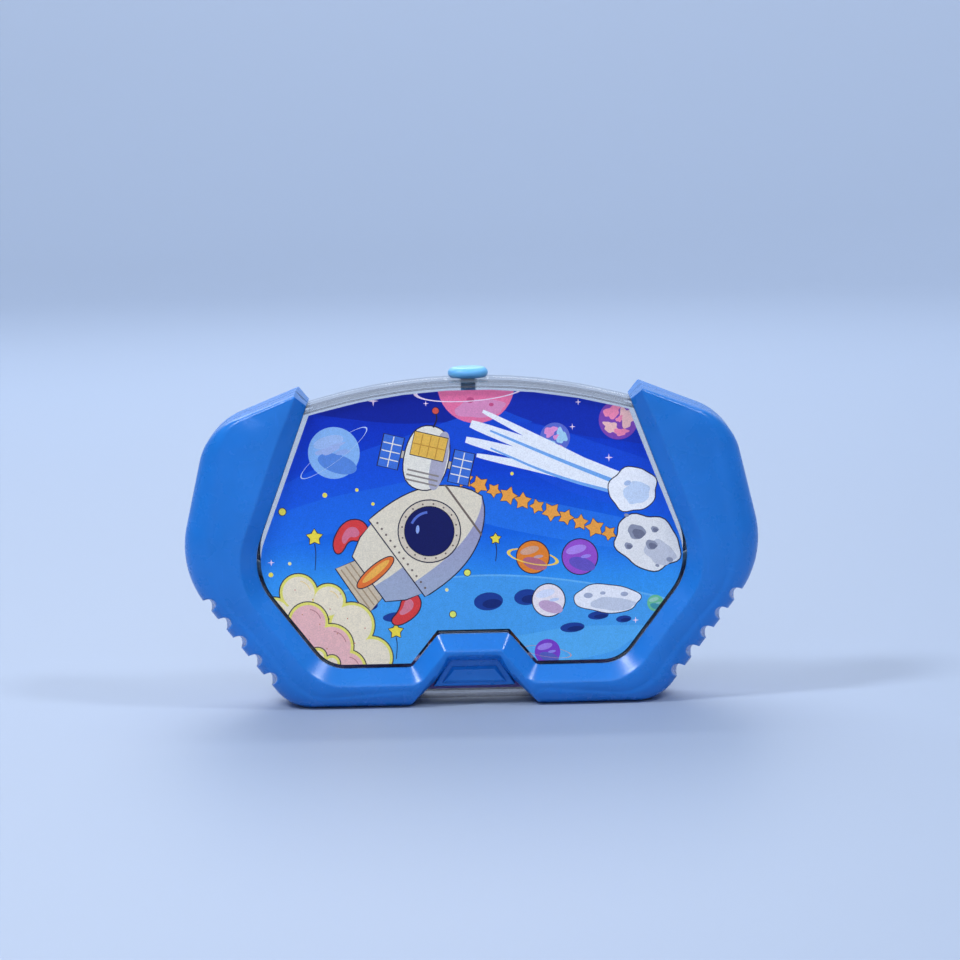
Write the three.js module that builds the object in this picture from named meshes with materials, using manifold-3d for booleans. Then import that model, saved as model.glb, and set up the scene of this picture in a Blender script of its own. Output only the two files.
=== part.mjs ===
// Hand-held water ring-toss game: a clear water tank held between two blue U-shaped shell halves,
// with two pump buttons, pegs and loose rings. Millimetres, +Z up, play side facing -Y.
import * as THREE from 'three';
import { mergeVertices } from 'three/addons/utils/BufferGeometryUtils.js';
import Module from 'manifold-3d';

const wasm = await Module();
wasm.setup();

// ---------- driving dimensions ----------
const shellFrontY = -12.5;
const shellRearY = 15.5;
const shellWall = 1.9;
const shellBevelWidth = 3.6;
const shellBevelDepth = 4.2;
const shellSkin = 2;
const partingY = 1.5;
const gap = 0.3;
const beyond = 200;

const tankFlangeFrontY = -6.7;
const tankWindowY = -9.4;
const tankSeamY = 2.0;
const tankFlangeRearY = 9.7;
const tankPadY = 11.0;
const tankWall = 1.8;
const tankLipY = 12.6;
const tankLipHeight = 1.5;
const lipHalfWidth = 45;
const tankTopZ = 92.5;
const tankInnerRearY = 8.1;

const cardThickness = 0.2;
const cardInset = 0.8;
const cardGap = 0.05;

const pumpX = 72;
const pumpZ = 44;
const pumpLobeRadius = 7.4;
const pumpNeckX = 58;
const pumpWallY = -1;
const pumpWall = 1.5;
const pumpPortRadius = 2.6;
const buttonRadius = 5.9;
const buttonFlangeRadius = 6.9;
const buttonFrontY = -15.5;
const buttonBackY = -9.1;

const plugY = -4;
const plugHeadRadius = 5.75;
const plugStemRadius = 2.15;
const plugTopZ = 95.7;
const plugBottomZ = 86.4;
const fillerHoleRadius = 2.5;
const fillerNeckRadius = 4;
const fillerNeckHeight = 0.5;
const fillerNeckHalfWidth = 6;
const restGap = 0.1;

const ringRadius = 4.6;
const ringSection = 0.9;
const ringY = 1.5;
const pegRadius = 1.2;
const pegCollarRadius = 4.2;
const pegSocketZ = 8;
const groundTopZ = 13;
const groundFrontY = -3.8;
const groundRearY = 7;
const hillHeight = 1.2;
const hillSpan = 24;

// Half outlines from the top down to the centre line, as [x, z, corner radius].
const shellOutside = [
  [49.3, 90.7, 0], [74.7, 80.5, 18], [84.1, 40.2, 27], [52.9, 0, 13], [18.5, 0, 0], [11.5, 6.5, 0],
];
const shellOpening = [
  [45.8, 87.2, 0], [63.5, 39.6, 18], [42.05, 11.3, 11], [17.8, 11.3, 0], [10.1, 20.7, 0],
];
const tankOutside = [
  [0, 98.8, 164], [50.3, 84.9, 2], [67.3, 39.6, 21], [39.4, 2, 8],
];
const padOutside = [
  [0, 98.8, 164], [46.1, 86.2, 0], [63.1, 39.6, 17.6], [41.85, 11.7, 10.6], [17.6, 11.7, 0], [9.9, 21.1, 0],
];

// Finger grooves along each lower diagonal of the grips.
const grooveCount = 5;
const grooveRadius = 1.9;
const grooveDepth = 1.3;
const groovePitch = 6.5;
const grooveFirst = [74.6, 28.0];
const grooveAngle = 0.91;
const grooveLean = 0.23;
const grooveWall = 1.3;

// Pins of the front half press into bosses of the rear half.
const pinPlaces = [[67, 66], [60, 19]].flatMap(([x, z]) => [[x, z], [-x, z]]);
const pinRadius = 2;
const pinBossWall = 1.6;
const pinReach = 4;

// Recessed panel under the bridge, as [x, z], and the depth its floor lies at.
const bridgePanel = [[8, 15], [-8, 15], [-11.5, 5], [11.5, 5]];
const bridgePanelY = 12;

// ---------- materials ----------
function plastic(color, roughness, opacity = 1) {
  const transparent = opacity < 1;
  return new THREE.MeshStandardMaterial({ color, roughness, metalness: 0, opacity, transparent });
}
const bluePlastic = plastic(0x286edc, 0.4);
const clearPlastic = plastic(0xe4ecf4, 0.08, 0.3);
const softBlue = plastic(0x7dc3f5, 0.5);
const printedCard = plastic(0x1e5ac8, 0.55);
const buttonYellow = plastic(0xffc832, 0.35);
const rubberWhite = plastic(0xdfe6ea, 0.7);
const groundPurple = plastic(0x7a5ad0, 0.45);
const pegOrange = plastic(0xff8c2a, 0.35);
const ringColors = [0xff4a5e, 0xffd23c, 0x43c96b, 0xff7fc0].map((color) => plastic(color, 0.3));

// ---------- outlines ----------
// The right half and its mirror image as one closed outline. A corner on the centre line is used once.
function mirrored(half) {
  const left = half.filter(([x]) => x > 0).map(([x, z, radius]) => [-x, z, radius]);
  return [...half, ...left.reverse()];
}

// The U of the shell: down the outside of the right grip, up the left one, and back along the opening.
function shellCorners() {
  const outside = mirrored(shellOutside);
  const opening = mirrored(shellOpening).reverse();
  return [...outside, ...opening];
}

function turnsClockwise(corners) {
  const points = corners.map(([x, z]) => new THREE.Vector2(x, z));
  return THREE.ShapeUtils.isClockWise(points);
}

// Moves every edge of an outline inwards by a distance and shortens or lengthens the corner radii to suit.
function inset(corners, distance) {
  const side = turnsClockwise(corners) ? -1 : 1;
  return corners.map(([x, z, radius], i) => {
    const corner = new THREE.Vector2(x, z);
    const before = new THREE.Vector2(...corners.at(i - 1));
    const after = new THREE.Vector2(...corners[(i + 1) % corners.length]);
    const arriving = corner.clone().sub(before).normalize();
    const leaving = after.sub(corner).normalize();
    const normalA = new THREE.Vector2(-arriving.y, arriving.x).multiplyScalar(side);
    const normalB = new THREE.Vector2(-leaving.y, leaving.x).multiplyScalar(side);
    const mitre = normalA.clone().add(normalB);
    mitre.multiplyScalar((2 * distance) / mitre.lengthSq());
    const convex = arriving.cross(leaving) * side > 0;
    const newRadius = radius === 0 ? 0 : Math.max(0, radius + (convex ? -distance : distance));
    return [x + mitre.x, z + mitre.y, newRadius];
  });
}

// The outline's points, with each corner of some radius turned into an arc.
function roundedPoints(corners, arcStep = 0.25, longestChord = 8) {
  return corners.flatMap(([x, z, radius], i) => {
    const corner = new THREE.Vector2(x, z);
    if (radius === 0) return [corner];
    const toBefore = new THREE.Vector2(...corners.at(i - 1)).sub(corner).normalize();
    const toAfter = new THREE.Vector2(...corners[(i + 1) % corners.length]).sub(corner).normalize();
    const halfAngle = Math.acos(toBefore.dot(toAfter)) / 2;
    const centre = toBefore.clone().add(toAfter).setLength(radius / Math.sin(halfAngle)).add(corner);
    const start = toBefore.multiplyScalar(radius / Math.tan(halfAngle)).add(corner).sub(centre);
    const sweep = Math.PI - 2 * halfAngle;
    const direction = Math.sign(start.cross(corner.clone().sub(centre)));
    const steps = Math.ceil(Math.max(sweep / arcStep, (sweep * radius) / longestChord));
    const turn = (direction * sweep) / steps;
    return Array.from({ length: steps + 1 }, (_, k) =>
      start.clone().rotateAround(new THREE.Vector2(), k * turn).add(centre));
  });
}

// ---------- solids ----------
// A closed geometry as a solid, with its shared vertices merged and its faces pointing out.
function solidOf(geometry) {
  geometry.deleteAttribute('normal');
  geometry.deleteAttribute('uv');
  const merged = mergeVertices(geometry, 1e-4);
  const vertProperties = new Float32Array(merged.attributes.position.array);
  const corner = (i) => new THREE.Vector3().fromArray(vertProperties, 3 * i);
  const triangles = [];
  let volume = 0;
  for (let i = 0; i < merged.index.count; i += 3) {
    const [a, b, c] = merged.index.array.slice(i, i + 3);
    if (a === b || b === c || c === a) continue;
    triangles.push([a, b, c]);
    volume += corner(a).dot(corner(b).cross(corner(c)));
  }
  const outward = volume > 0 ? triangles : triangles.map(([a, b, c]) => [a, c, b]);
  const triVerts = new Uint32Array(outward.flat());
  return new wasm.Manifold(new wasm.Mesh({ numProp: 3, vertProperties, triVerts }));
}

// An outline in the XZ plane, extruded from one Y to another.
function slab(points, fromY, toY) {
  const depth = toY - fromY;
  const geometry = new THREE.ExtrudeGeometry(new THREE.Shape(points), { depth, bevelEnabled: false });
  geometry.rotateX(Math.PI / 2).translate(0, toY, 0);
  return solidOf(geometry);
}

function box(fromCorner, toCorner) {
  const low = new THREE.Vector3(...fromCorner);
  const size = new THREE.Vector3(...toCorner).sub(low);
  const geometry = new THREE.BoxGeometry(size.x, size.y, size.z);
  geometry.translate(low.x + size.x / 2, low.y + size.y / 2, low.z + size.z / 2);
  return solidOf(geometry);
}

// A cylinder along Y.
function rod(radius, x, z, fromY, toY, sides = 24) {
  const geometry = new THREE.CylinderGeometry(radius, radius, toY - fromY, sides);
  geometry.translate(x, (fromY + toY) / 2, z);
  return solidOf(geometry);
}

// A closed profile of [radius, height] points turned round the Y axis, or round the Z axis.
function turnedAlongY(profile, x, z, sides = 28) {
  const points = profile.map(([radius, height]) => new THREE.Vector2(radius, height));
  const geometry = new THREE.LatheGeometry(points, sides);
  geometry.translate(x, 0, z);
  return solidOf(geometry);
}
function turnedAlongZ(profile, x, y, sides = 28) {
  const points = profile.map(([radius, height]) => new THREE.Vector2(radius, height));
  const geometry = new THREE.LatheGeometry(points, sides);
  geometry.rotateX(Math.PI / 2).translate(x, y, 0);
  return solidOf(geometry);
}

function meshOf(name, solid, material) {
  const { vertProperties, triVerts } = solid.getMesh();
  const geometry = new THREE.BufferGeometry();
  geometry.setAttribute('position', new THREE.BufferAttribute(vertProperties, 3));
  geometry.setIndex(new THREE.BufferAttribute(triVerts, 1));
  geometry.computeVertexNormals();
  const mesh = new THREE.Mesh(geometry, material);
  mesh.name = name;
  return mesh;
}

// ---------- shell halves ----------
// The U outline with its edges bevelled at the face, cut off at the parting plane, and hollow inside.
function shellHalf(faceY, innerY) {
  const facing = Math.sign(faceY - innerY);
  const extrudeDepth = 2 * (shellRearY - shellFrontY);
  const geometry = new THREE.ExtrudeGeometry(new THREE.Shape(roundedPoints(shellCorners())), {
    depth: extrudeDepth,
    bevelSize: shellBevelWidth,
    bevelOffset: -shellBevelWidth,
    bevelThickness: shellBevelDepth,
    bevelSegments: 2,
  });
  geometry.rotateX(Math.PI / 2);
  const endY = facing > 0 ? shellBevelDepth : -extrudeDepth - shellBevelDepth;
  geometry.translate(0, faceY - endY, 0);
  const keep = box([-beyond, Math.min(innerY, faceY), -beyond], [beyond, Math.max(innerY, faceY), beyond]);
  const hollowY = [innerY - facing, faceY - facing * shellSkin];
  const hollowOutline = roundedPoints(inset(shellCorners(), shellWall));
  const hollow = slab(hollowOutline, Math.min(...hollowY), Math.max(...hollowY));
  const backing = grooveRods(grooveRadius + grooveWall, facing, 8);
  return solidOf(geometry).intersect(keep).subtract(hollow.subtract(backing)).subtract(
    grooveRods(grooveRadius, facing, 12),
  );
}

// The finger grooves of both grips as one solid: rods that lean in towards the face, and so cut deeper there.
function grooveRods(radius, facing, sides) {
  const halfLength = 20;
  const startBehind = 3;
  const alongX = Math.cos(grooveAngle);
  const alongZ = Math.sin(grooveAngle);
  let grooves = null;
  for (const side of [1, -1]) {
    for (let i = 0; i < grooveCount; i += 1) {
      const geometry = new THREE.CylinderGeometry(radius, radius, 2 * halfLength, sides);
      geometry.translate(0, facing * (halfLength - startBehind), 0);
      geometry.rotateZ(facing * grooveLean);
      geometry.translate(grooveRadius - grooveDepth, partingY, 0);
      geometry.rotateY(Math.PI / 2 - grooveAngle);
      const stepX = i * groovePitch * alongX;
      const stepZ = i * groovePitch * alongZ;
      geometry.translate(grooveFirst[0] - stepX, 0, grooveFirst[1] - stepZ);
      geometry.scale(side, 1, 1);
      const groove = solidOf(geometry);
      grooves = grooves ? grooves.add(groove) : groove;
    }
  }
  return grooves;
}

// The space the tank takes up inside the shell, with clearance all round. The pump chambers' space starts at
// its own Y, so that the buttons and bellows keep their place in front of them.
function tankRoom(fromY, pumpFromY, toY) {
  const body = slab(roundedPoints(inset(mirrored(tankOutside), -gap)), fromY, toY);
  return body.add(pumpLobes(pumpLobeRadius + gap, pumpFromY, toY));
}

// The pump chambers that reach out of the tank into both grips.
function pumpLobes(radius, fromY, toY) {
  let lobes = null;
  for (const side of [1, -1]) {
    const round = rod(radius, side * pumpX, pumpZ, fromY, toY, 28);
    const neckX = [side * pumpNeckX, side * pumpX];
    const neck = box([Math.min(...neckX), fromY, pumpZ - radius], [Math.max(...neckX), toY, pumpZ + radius]);
    const lobe = round.add(neck);
    lobes = lobes ? lobes.add(lobe) : lobe;
  }
  return lobes;
}

function rearFrame() {
  let frame = shellHalf(shellRearY, partingY);
  for (const [x, z] of pinPlaces) {
    const boss = rod(pinRadius + pinBossWall, x, z, partingY + 1, shellRearY - shellWall, 16);
    frame = frame.add(boss).subtract(rod(pinRadius + gap, x, z, partingY - 1, shellRearY - pinReach, 16));
  }
  frame = frame.subtract(tankRoom(partingY - 1, partingY - 1, tankFlangeRearY + gap));
  const panel = bridgePanel.map(([x, z]) => new THREE.Vector2(x, z));
  return frame.subtract(slab(panel, bridgePanelY, shellRearY + 1));
}

function frontFrame() {
  let frame = shellHalf(shellFrontY, partingY - gap);
  for (const [x, z] of pinPlaces) {
    frame = frame.add(rod(pinRadius, x, z, shellFrontY + shellWall, partingY + pinReach, 16));
  }
  frame = frame.subtract(tankRoom(tankFlangeFrontY - gap, pumpWallY - gap, partingY + 1));
  for (const side of [1, -1]) {
    frame = frame.subtract(rod(buttonRadius + gap, side * pumpX, pumpZ, shellFrontY - 1, pumpWallY, 28));
  }
  return frame;
}

// ---------- tank ----------
// The tank's front half with the filler neck in its roof.
function tankFrontWhole() {
  const outside = mirrored(tankOutside);
  const pad = mirrored(padOutside);
  let tank = slab(roundedPoints(outside), tankFlangeFrontY, tankSeamY);
  tank = tank.add(slab(roundedPoints(pad), tankWindowY, tankFlangeFrontY + 1));
  tank = tank.add(pumpLobes(pumpLobeRadius, pumpWallY, tankSeamY));
  tank = tank.add(post(fillerNeckRadius, tankTopZ - fillerNeckRadius, tankTopZ + fillerNeckHeight));
  const innerY = tankFlangeFrontY + tankWall;
  tank = tank.subtract(slab(roundedPoints(inset(outside, tankWall)), innerY, tankSeamY + 1));
  tank = tank.subtract(slab(roundedPoints(inset(pad, tankWall)), tankWindowY + tankWall, tankSeamY));
  tank = tank.subtract(pumpLobes(pumpLobeRadius - tankWall, pumpWallY + pumpWall, tankSeamY + 1));
  for (const side of [1, -1]) {
    tank = tank.subtract(rod(pumpPortRadius, side * pumpX, pumpZ, pumpWallY - 1, tankSeamY, 16));
  }
  return tank.subtract(post(fillerHoleRadius, tankTopZ - beyond / 10, tankTopZ + beyond / 10));
}

// A cylinder along Z on the filler plug's axis.
function post(radius, fromZ, toZ) {
  return turnedAlongZ([[0, fromZ], [radius, fromZ], [radius, toZ], [0, toZ]], 0, plugY, 20);
}

// The stretch of the tank's roof, behind the window's wall, that carries the filler neck.
function neckStretch(joint) {
  const halfWidth = fillerNeckHalfWidth - joint;
  const fromY = tankWindowY + tankWall + joint;
  return box([-halfWidth, fromY, tankTopZ - beyond / 10], [halfWidth, beyond, beyond]);
}

function tankFront() {
  return tankFrontWhole().subtract(neckStretch(0));
}

function fillerNeck() {
  return tankFrontWhole().intersect(neckStretch(restGap));
}

function tankBack() {
  const outside = mirrored(tankOutside);
  const pad = mirrored(padOutside);
  let tank = slab(roundedPoints(outside), tankSeamY + gap, tankFlangeRearY);
  tank = tank.add(slab(roundedPoints(pad), tankFlangeRearY - 1, tankPadY));
  tank = tank.add(pumpLobes(pumpLobeRadius, tankSeamY + gap, tankFlangeRearY));
  const lipBand = slab(roundedPoints(pad), tankPadY - 1, tankLipY);
  const belowLip = slab(roundedPoints(inset(pad, tankLipHeight)), tankPadY, tankLipY + 1);
  const topStrip = box([-lipHalfWidth, 0, tankTopZ / 2], [lipHalfWidth, beyond, beyond]);
  tank = tank.add(lipBand.subtract(belowLip).intersect(topStrip));
  tank = tank.subtract(slab(roundedPoints(inset(outside, tankWall)), tankSeamY - 1, tankInnerRearY));
  return tank.subtract(pumpLobes(pumpLobeRadius - tankWall, tankSeamY - 1, tankInnerRearY));
}

// The filler plug's head rests on the filler neck, and its stem reaches into the tank.
function fillerPlug() {
  const headZ = tankTopZ + fillerNeckHeight + restGap;
  return turnedAlongZ([
    [0, plugBottomZ], [plugStemRadius - 0.4, plugBottomZ], [plugStemRadius, plugBottomZ + 0.8],
    [plugStemRadius, headZ], [plugHeadRadius - 0.4, headZ], [plugHeadRadius, headZ + 0.5],
    [plugHeadRadius - 0.1, plugTopZ - 1], [plugHeadRadius - 1.2, plugTopZ - 0.3], [0, plugTopZ],
  ], 0, plugY);
}

// A printed card that fills the tank's raised pad up to a narrow clear rim.
function card(fromY) {
  const corners = inset(mirrored(padOutside), cardInset);
  corners[0][1] -= tankLipHeight;
  corners[1][1] -= tankLipHeight;
  corners.at(-1)[1] -= tankLipHeight;
  return slab(roundedPoints(corners), fromY, fromY + cardThickness);
}

// ---------- pumps ----------
function button(side) {
  const profile = [
    [0, buttonBackY], [buttonFlangeRadius, buttonBackY], [buttonFlangeRadius, buttonBackY - 1],
    [buttonRadius, buttonBackY - 1], [buttonRadius, buttonFrontY + 1.6],
    [buttonRadius - 0.6, buttonFrontY + 0.5], [buttonRadius - 1.8, buttonFrontY], [0, buttonFrontY + 0.5],
  ];
  return turnedAlongY(profile, side * pumpX, pumpZ);
}

// A rubber dome, open towards the tank, with a flat rim under the clamp ring.
function bellows(side) {
  const rimY = pumpWallY - 0.2;
  const topY = buttonBackY + gap;
  const profile = [
    [3.4, rimY], [6.5, rimY], [6.5, rimY - 0.8], [5.1, rimY - 0.8], [4.7, rimY - 3], [5.1, rimY - 4.6],
    [4.3, topY], [0, topY], [0, topY + 0.9], [3.4, topY + 0.9], [4.2, rimY - 4.2], [3.8, rimY - 3],
    [3.4, rimY],
  ];
  return turnedAlongY(profile, side * pumpX, pumpZ);
}

function clampRing(side) {
  const backY = pumpWallY - 1.2;
  const profile = [[5.6, backY], [7, backY], [7, backY - 1], [5.6, backY - 1], [5.6, backY]];
  return turnedAlongY(profile, side * pumpX, pumpZ);
}

// A bent tube from behind the pump port down the diagonal wall, ending in an upright jet.
function jetTube(side) {
  const route = new THREE.CatmullRomCurve3([
    [68, 5, 43], [60.5, 5, 40], [54, 4, 32], [49.4, 2.6, 25.4], [46.4, 1.5, 23.4], [44.6, 1.5, 25.4],
    [44.2, 1.5, 28.4],
  ].map(([x, y, z]) => new THREE.Vector3(side * x, y, z)));
  const section = new THREE.Shape().absarc(0, 0, 1.7, 0, 2 * Math.PI);
  section.holes.push(new THREE.Path().absarc(0, 0, 0.9, 0, 2 * Math.PI));
  return solidOf(new THREE.ExtrudeGeometry(section, { steps: 22, curveSegments: 5, extrudePath: route }));
}

// ---------- inside the tank ----------
const pegPlaces = [[-36, 46], [-12, 60], [12, 52], [36, 40]];
const looseRingPlaces = [-24, 0, 24];

// Ground with low hills, standing on the tank's floor, with a socket for each peg.
function groundInsert() {
  const reach = 40;
  const hills = Array.from({ length: 41 }, (_, i) => {
    const x = -reach + (2 * reach * i) / 40;
    return new THREE.Vector2(x, groundTopZ + hillHeight * Math.cos((x * 2 * Math.PI) / hillSpan));
  });
  const foot = [[reach, 9.5], [34, 4.2], [-34, 4.2], [-reach, 9.5]].map(([x, z]) => new THREE.Vector2(x, z));
  let ground = slab([...hills, ...foot], groundFrontY, groundRearY);
  for (const [x] of pegPlaces) {
    const radius = pegRadius + gap;
    const socket = [[0, pegSocketZ], [radius, pegSocketZ], [radius, beyond], [0, beyond]];
    ground = ground.subtract(turnedAlongZ(socket, x, ringY, 12));
  }
  return ground;
}

// A peg with a round collar that catches a ring, and a ball on top.
function peg(x, collarZ) {
  return turnedAlongZ([
    [0, pegSocketZ + gap], [pegRadius, pegSocketZ + gap], [pegRadius, collarZ - 2],
    [pegCollarRadius, collarZ - 1], [pegCollarRadius, collarZ], [pegRadius, collarZ],
    [pegRadius, collarZ + 9], [1.9, collarZ + 10], [1.9, collarZ + 11.4], [1, collarZ + 12.6],
    [0, collarZ + 12.8],
  ], x, ringY, 14);
}

// A ring lying flat, with a round section, whose underside is at the given height.
function ring(x, z) {
  const profile = Array.from({ length: 9 }, (_, i) => {
    const angle = (i * 2 * Math.PI) / 8;
    return [ringRadius + ringSection * Math.cos(angle), z + ringSection * (1 + Math.sin(angle))];
  });
  return turnedAlongZ(profile, x, ringY, 24);
}

// ---------- assembly ----------
const game = new THREE.Group();
game.add(meshOf('rear_frame', rearFrame(), bluePlastic));
game.add(meshOf('front_frame', frontFrame(), bluePlastic));
game.add(meshOf('tank_front', tankFront(), clearPlastic));
game.add(meshOf('tank_back', tankBack(), clearPlastic));
game.add(meshOf('filler_neck', fillerNeck(), clearPlastic));
game.add(meshOf('backdrop_card', card(tankPadY + cardGap), printedCard));
game.add(meshOf('rear_label', card(tankPadY + 2 * cardGap + cardThickness), printedCard));
game.add(meshOf('filler_plug', fillerPlug(), softBlue));
game.add(meshOf('ground_insert', groundInsert(), groundPurple));

for (const [word, side] of [['left', -1], ['right', 1]]) {
  game.add(meshOf(`${word}_button`, button(side), buttonYellow));
  game.add(meshOf(`${word}_bellows`, bellows(side), rubberWhite));
  game.add(meshOf(`${word}_clamp_ring`, clampRing(side), bluePlastic));
  game.add(meshOf(`${word}_jet_tube`, jetTube(side), softBlue));
}

pegPlaces.forEach(([x, collarZ], i) => {
  game.add(meshOf(`peg_${i + 1}`, peg(x, collarZ), pegOrange));
  game.add(meshOf(`ring_${i + 1}`, ring(x, collarZ + restGap), ringColors[i]));
});
looseRingPlaces.forEach((x, i) => {
  const name = `ring_${pegPlaces.length + i + 1}`;
  const restZ = groundTopZ + hillHeight + restGap;
  game.add(meshOf(name, ring(x, restZ), ringColors[(i + 1) % ringColors.length]));
});

export default game;
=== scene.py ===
import math
import bmesh
import bpy
import numpy as np
from mathutils import Matrix, Vector
from mathutils.geometry import delaunay_2d_cdt


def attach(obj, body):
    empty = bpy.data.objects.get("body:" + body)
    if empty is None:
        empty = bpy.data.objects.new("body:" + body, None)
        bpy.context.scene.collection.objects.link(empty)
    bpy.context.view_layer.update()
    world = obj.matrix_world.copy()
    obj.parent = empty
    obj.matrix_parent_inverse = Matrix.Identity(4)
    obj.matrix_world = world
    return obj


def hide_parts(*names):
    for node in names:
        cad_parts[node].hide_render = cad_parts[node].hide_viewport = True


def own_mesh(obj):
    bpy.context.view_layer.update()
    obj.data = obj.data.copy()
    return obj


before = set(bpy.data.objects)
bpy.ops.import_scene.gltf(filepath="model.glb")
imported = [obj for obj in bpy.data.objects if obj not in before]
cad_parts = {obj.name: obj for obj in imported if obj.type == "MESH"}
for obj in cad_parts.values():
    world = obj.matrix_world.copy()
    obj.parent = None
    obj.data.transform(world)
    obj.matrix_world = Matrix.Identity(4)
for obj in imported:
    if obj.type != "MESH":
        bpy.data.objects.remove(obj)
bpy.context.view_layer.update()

mm = 0.001
scene = bpy.context.scene
scene.view_settings.view_transform = "Standard"

# Camera: square on to the back, a little above it
shot = dict(distance=1.0, lookDown=8.25, roll=1.25, aim=(0, 1.5, 46.2), lens=130.7, rise=0.987, turn=0.14)


def makeCamera(s):
    down, roll = math.radians(s["lookDown"]), math.radians(s["roll"])
    forward = Vector((0, -math.cos(down), -math.sin(down)))
    right = Vector((-1, 0, 0))
    up = right.cross(forward)
    rolledUp = up * math.cos(roll) + right * math.sin(roll)
    rolledRight = forward.cross(rolledUp)
    turned = Matrix((rolledRight, rolledUp, -forward)).transposed().to_4x4()
    place = Vector(s["aim"]) * mm - forward * s["distance"]
    rise = Matrix.Rotation(math.radians(s["rise"]), 4, "X")
    nudge = rise @ Matrix.Rotation(-math.radians(s["turn"]), 4, "Y")
    camera = bpy.data.objects.new("camera", bpy.data.cameras.new("camera"))
    camera.data.lens = s["lens"]
    camera.data.clip_start = 0.01
    camera.matrix_world = Matrix.Translation(place) @ turned @ nudge
    scene.collection.objects.link(camera)
    scene.camera = camera


makeCamera(shot)
print("camera placed")


# Materials
def toLinear(c):
    return np.where(c <= 0.04045, c / 12.92, ((c + 0.055) / 1.055) ** 2.4)


def srgb(red, green, blue):  # 0-255 screen values to the shader's linear colour
    return tuple(toLinear(np.array([red, green, blue]) / 255)) + (1.0,)


class Nodes:  # a short way to write a node tree
    def __init__(self, name):
        self.material = bpy.data.materials.new(name)
        self.material.use_nodes = True
        self.tree = self.material.node_tree
        self.shader = self.tree.nodes["Principled BSDF"]
        self.out = self.tree.nodes["Material Output"]
        self.place = self.add("ShaderNodeTexCoord").outputs["Object"]

    def add(self, kind, **settings):
        node = self.tree.nodes.new(kind)
        for key, value in settings.items():
            setattr(node, key, value)
        return node

    def link(self, a, b):
        self.tree.links.new(a, b)

    def noise(self, scale, detail=4, roughness=0.55, stretch=(1, 1, 1)):
        mapping = self.add("ShaderNodeMapping")
        mapping.inputs["Scale"].default_value = stretch
        self.link(self.place, mapping.inputs["Vector"])
        node = self.add("ShaderNodeTexNoise")
        node.inputs["Scale"].default_value = scale
        node.inputs["Detail"].default_value = detail
        node.inputs["Roughness"].default_value = roughness
        self.link(mapping.outputs["Vector"], node.inputs["Vector"])
        return node.outputs["Fac"]

    def spread(self, value, low, high, toLow, toHigh):
        node = self.add("ShaderNodeMapRange")
        for key, number in zip(("From Min", "From Max", "To Min", "To Max"), (low, high, toLow, toHigh)):
            node.inputs[key].default_value = number
        self.link(value, node.inputs["Value"])
        return node.outputs["Result"]

    def mix(self, amount, a, b, blend="MIX"):
        node = self.add("ShaderNodeMix", data_type="RGBA", blend_type=blend)
        if isinstance(amount, (int, float)):
            node.inputs[0].default_value = amount
        else:
            self.link(amount, node.inputs[0])
        for socket, value in ((node.inputs[6], a), (node.inputs[7], b)):
            if isinstance(value, tuple):
                socket.default_value = value
            else:
                self.link(value, socket)
        return node.outputs[2]

    def bump(self, height, distance, strength=0.3):
        node = self.add("ShaderNodeBump")
        node.inputs["Strength"].default_value = strength
        node.inputs["Distance"].default_value = distance
        self.link(height, node.inputs["Height"])
        self.link(node.outputs["Normal"], self.shader.inputs["Normal"])


# Moulded plastic: a faint cloudiness in the colour, fine scuffs that lighten it, a gloss that varies from
# place to place, and a slight orange-peel.
def mouldedPlastic(name, color, roughness=0.3, scuffs=0.5, soft=0.0, coat=0.0, gloss=0.5):
    n = Nodes(name)
    darker = tuple(c * 0.86 for c in color[:3]) + (1.0,)
    lighter = tuple(min(1.0, c * 1.06 + 0.012) for c in color[:3]) + (1.0,)
    clouds = n.spread(n.noise(38, 3), 0.3, 0.7, 0, 1)
    tone = n.mix(clouds, darker, color)
    scratch = n.spread(n.noise(900, 2, 0.4, (1.0, 0.9, 0.07)), 0.68, 0.76, 0, scuffs)
    patches = n.spread(n.noise(60, 2), 0.5, 0.68, 0, 1)
    worn = n.add("ShaderNodeMath", operation="MULTIPLY")
    n.link(scratch, worn.inputs[0])
    n.link(patches, worn.inputs[1])
    n.link(n.mix(worn.outputs[0], tone, lighter), n.shader.inputs["Base Color"])
    n.link(n.spread(n.noise(120, 4), 0.3, 0.75, roughness - 0.05, roughness + 0.09),
           n.shader.inputs["Roughness"])
    n.bump(n.noise(420, 3), 0.00006, 0.25)
    n.shader.inputs["Specular IOR Level"].default_value = gloss
    n.shader.inputs["Subsurface Weight"].default_value = soft
    n.shader.inputs["Subsurface Radius"].default_value = (0.002, 0.003, 0.004)
    n.shader.inputs["Coat Weight"].default_value = coat
    n.shader.inputs["Coat Roughness"].default_value = 0.12
    return n.material


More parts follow.
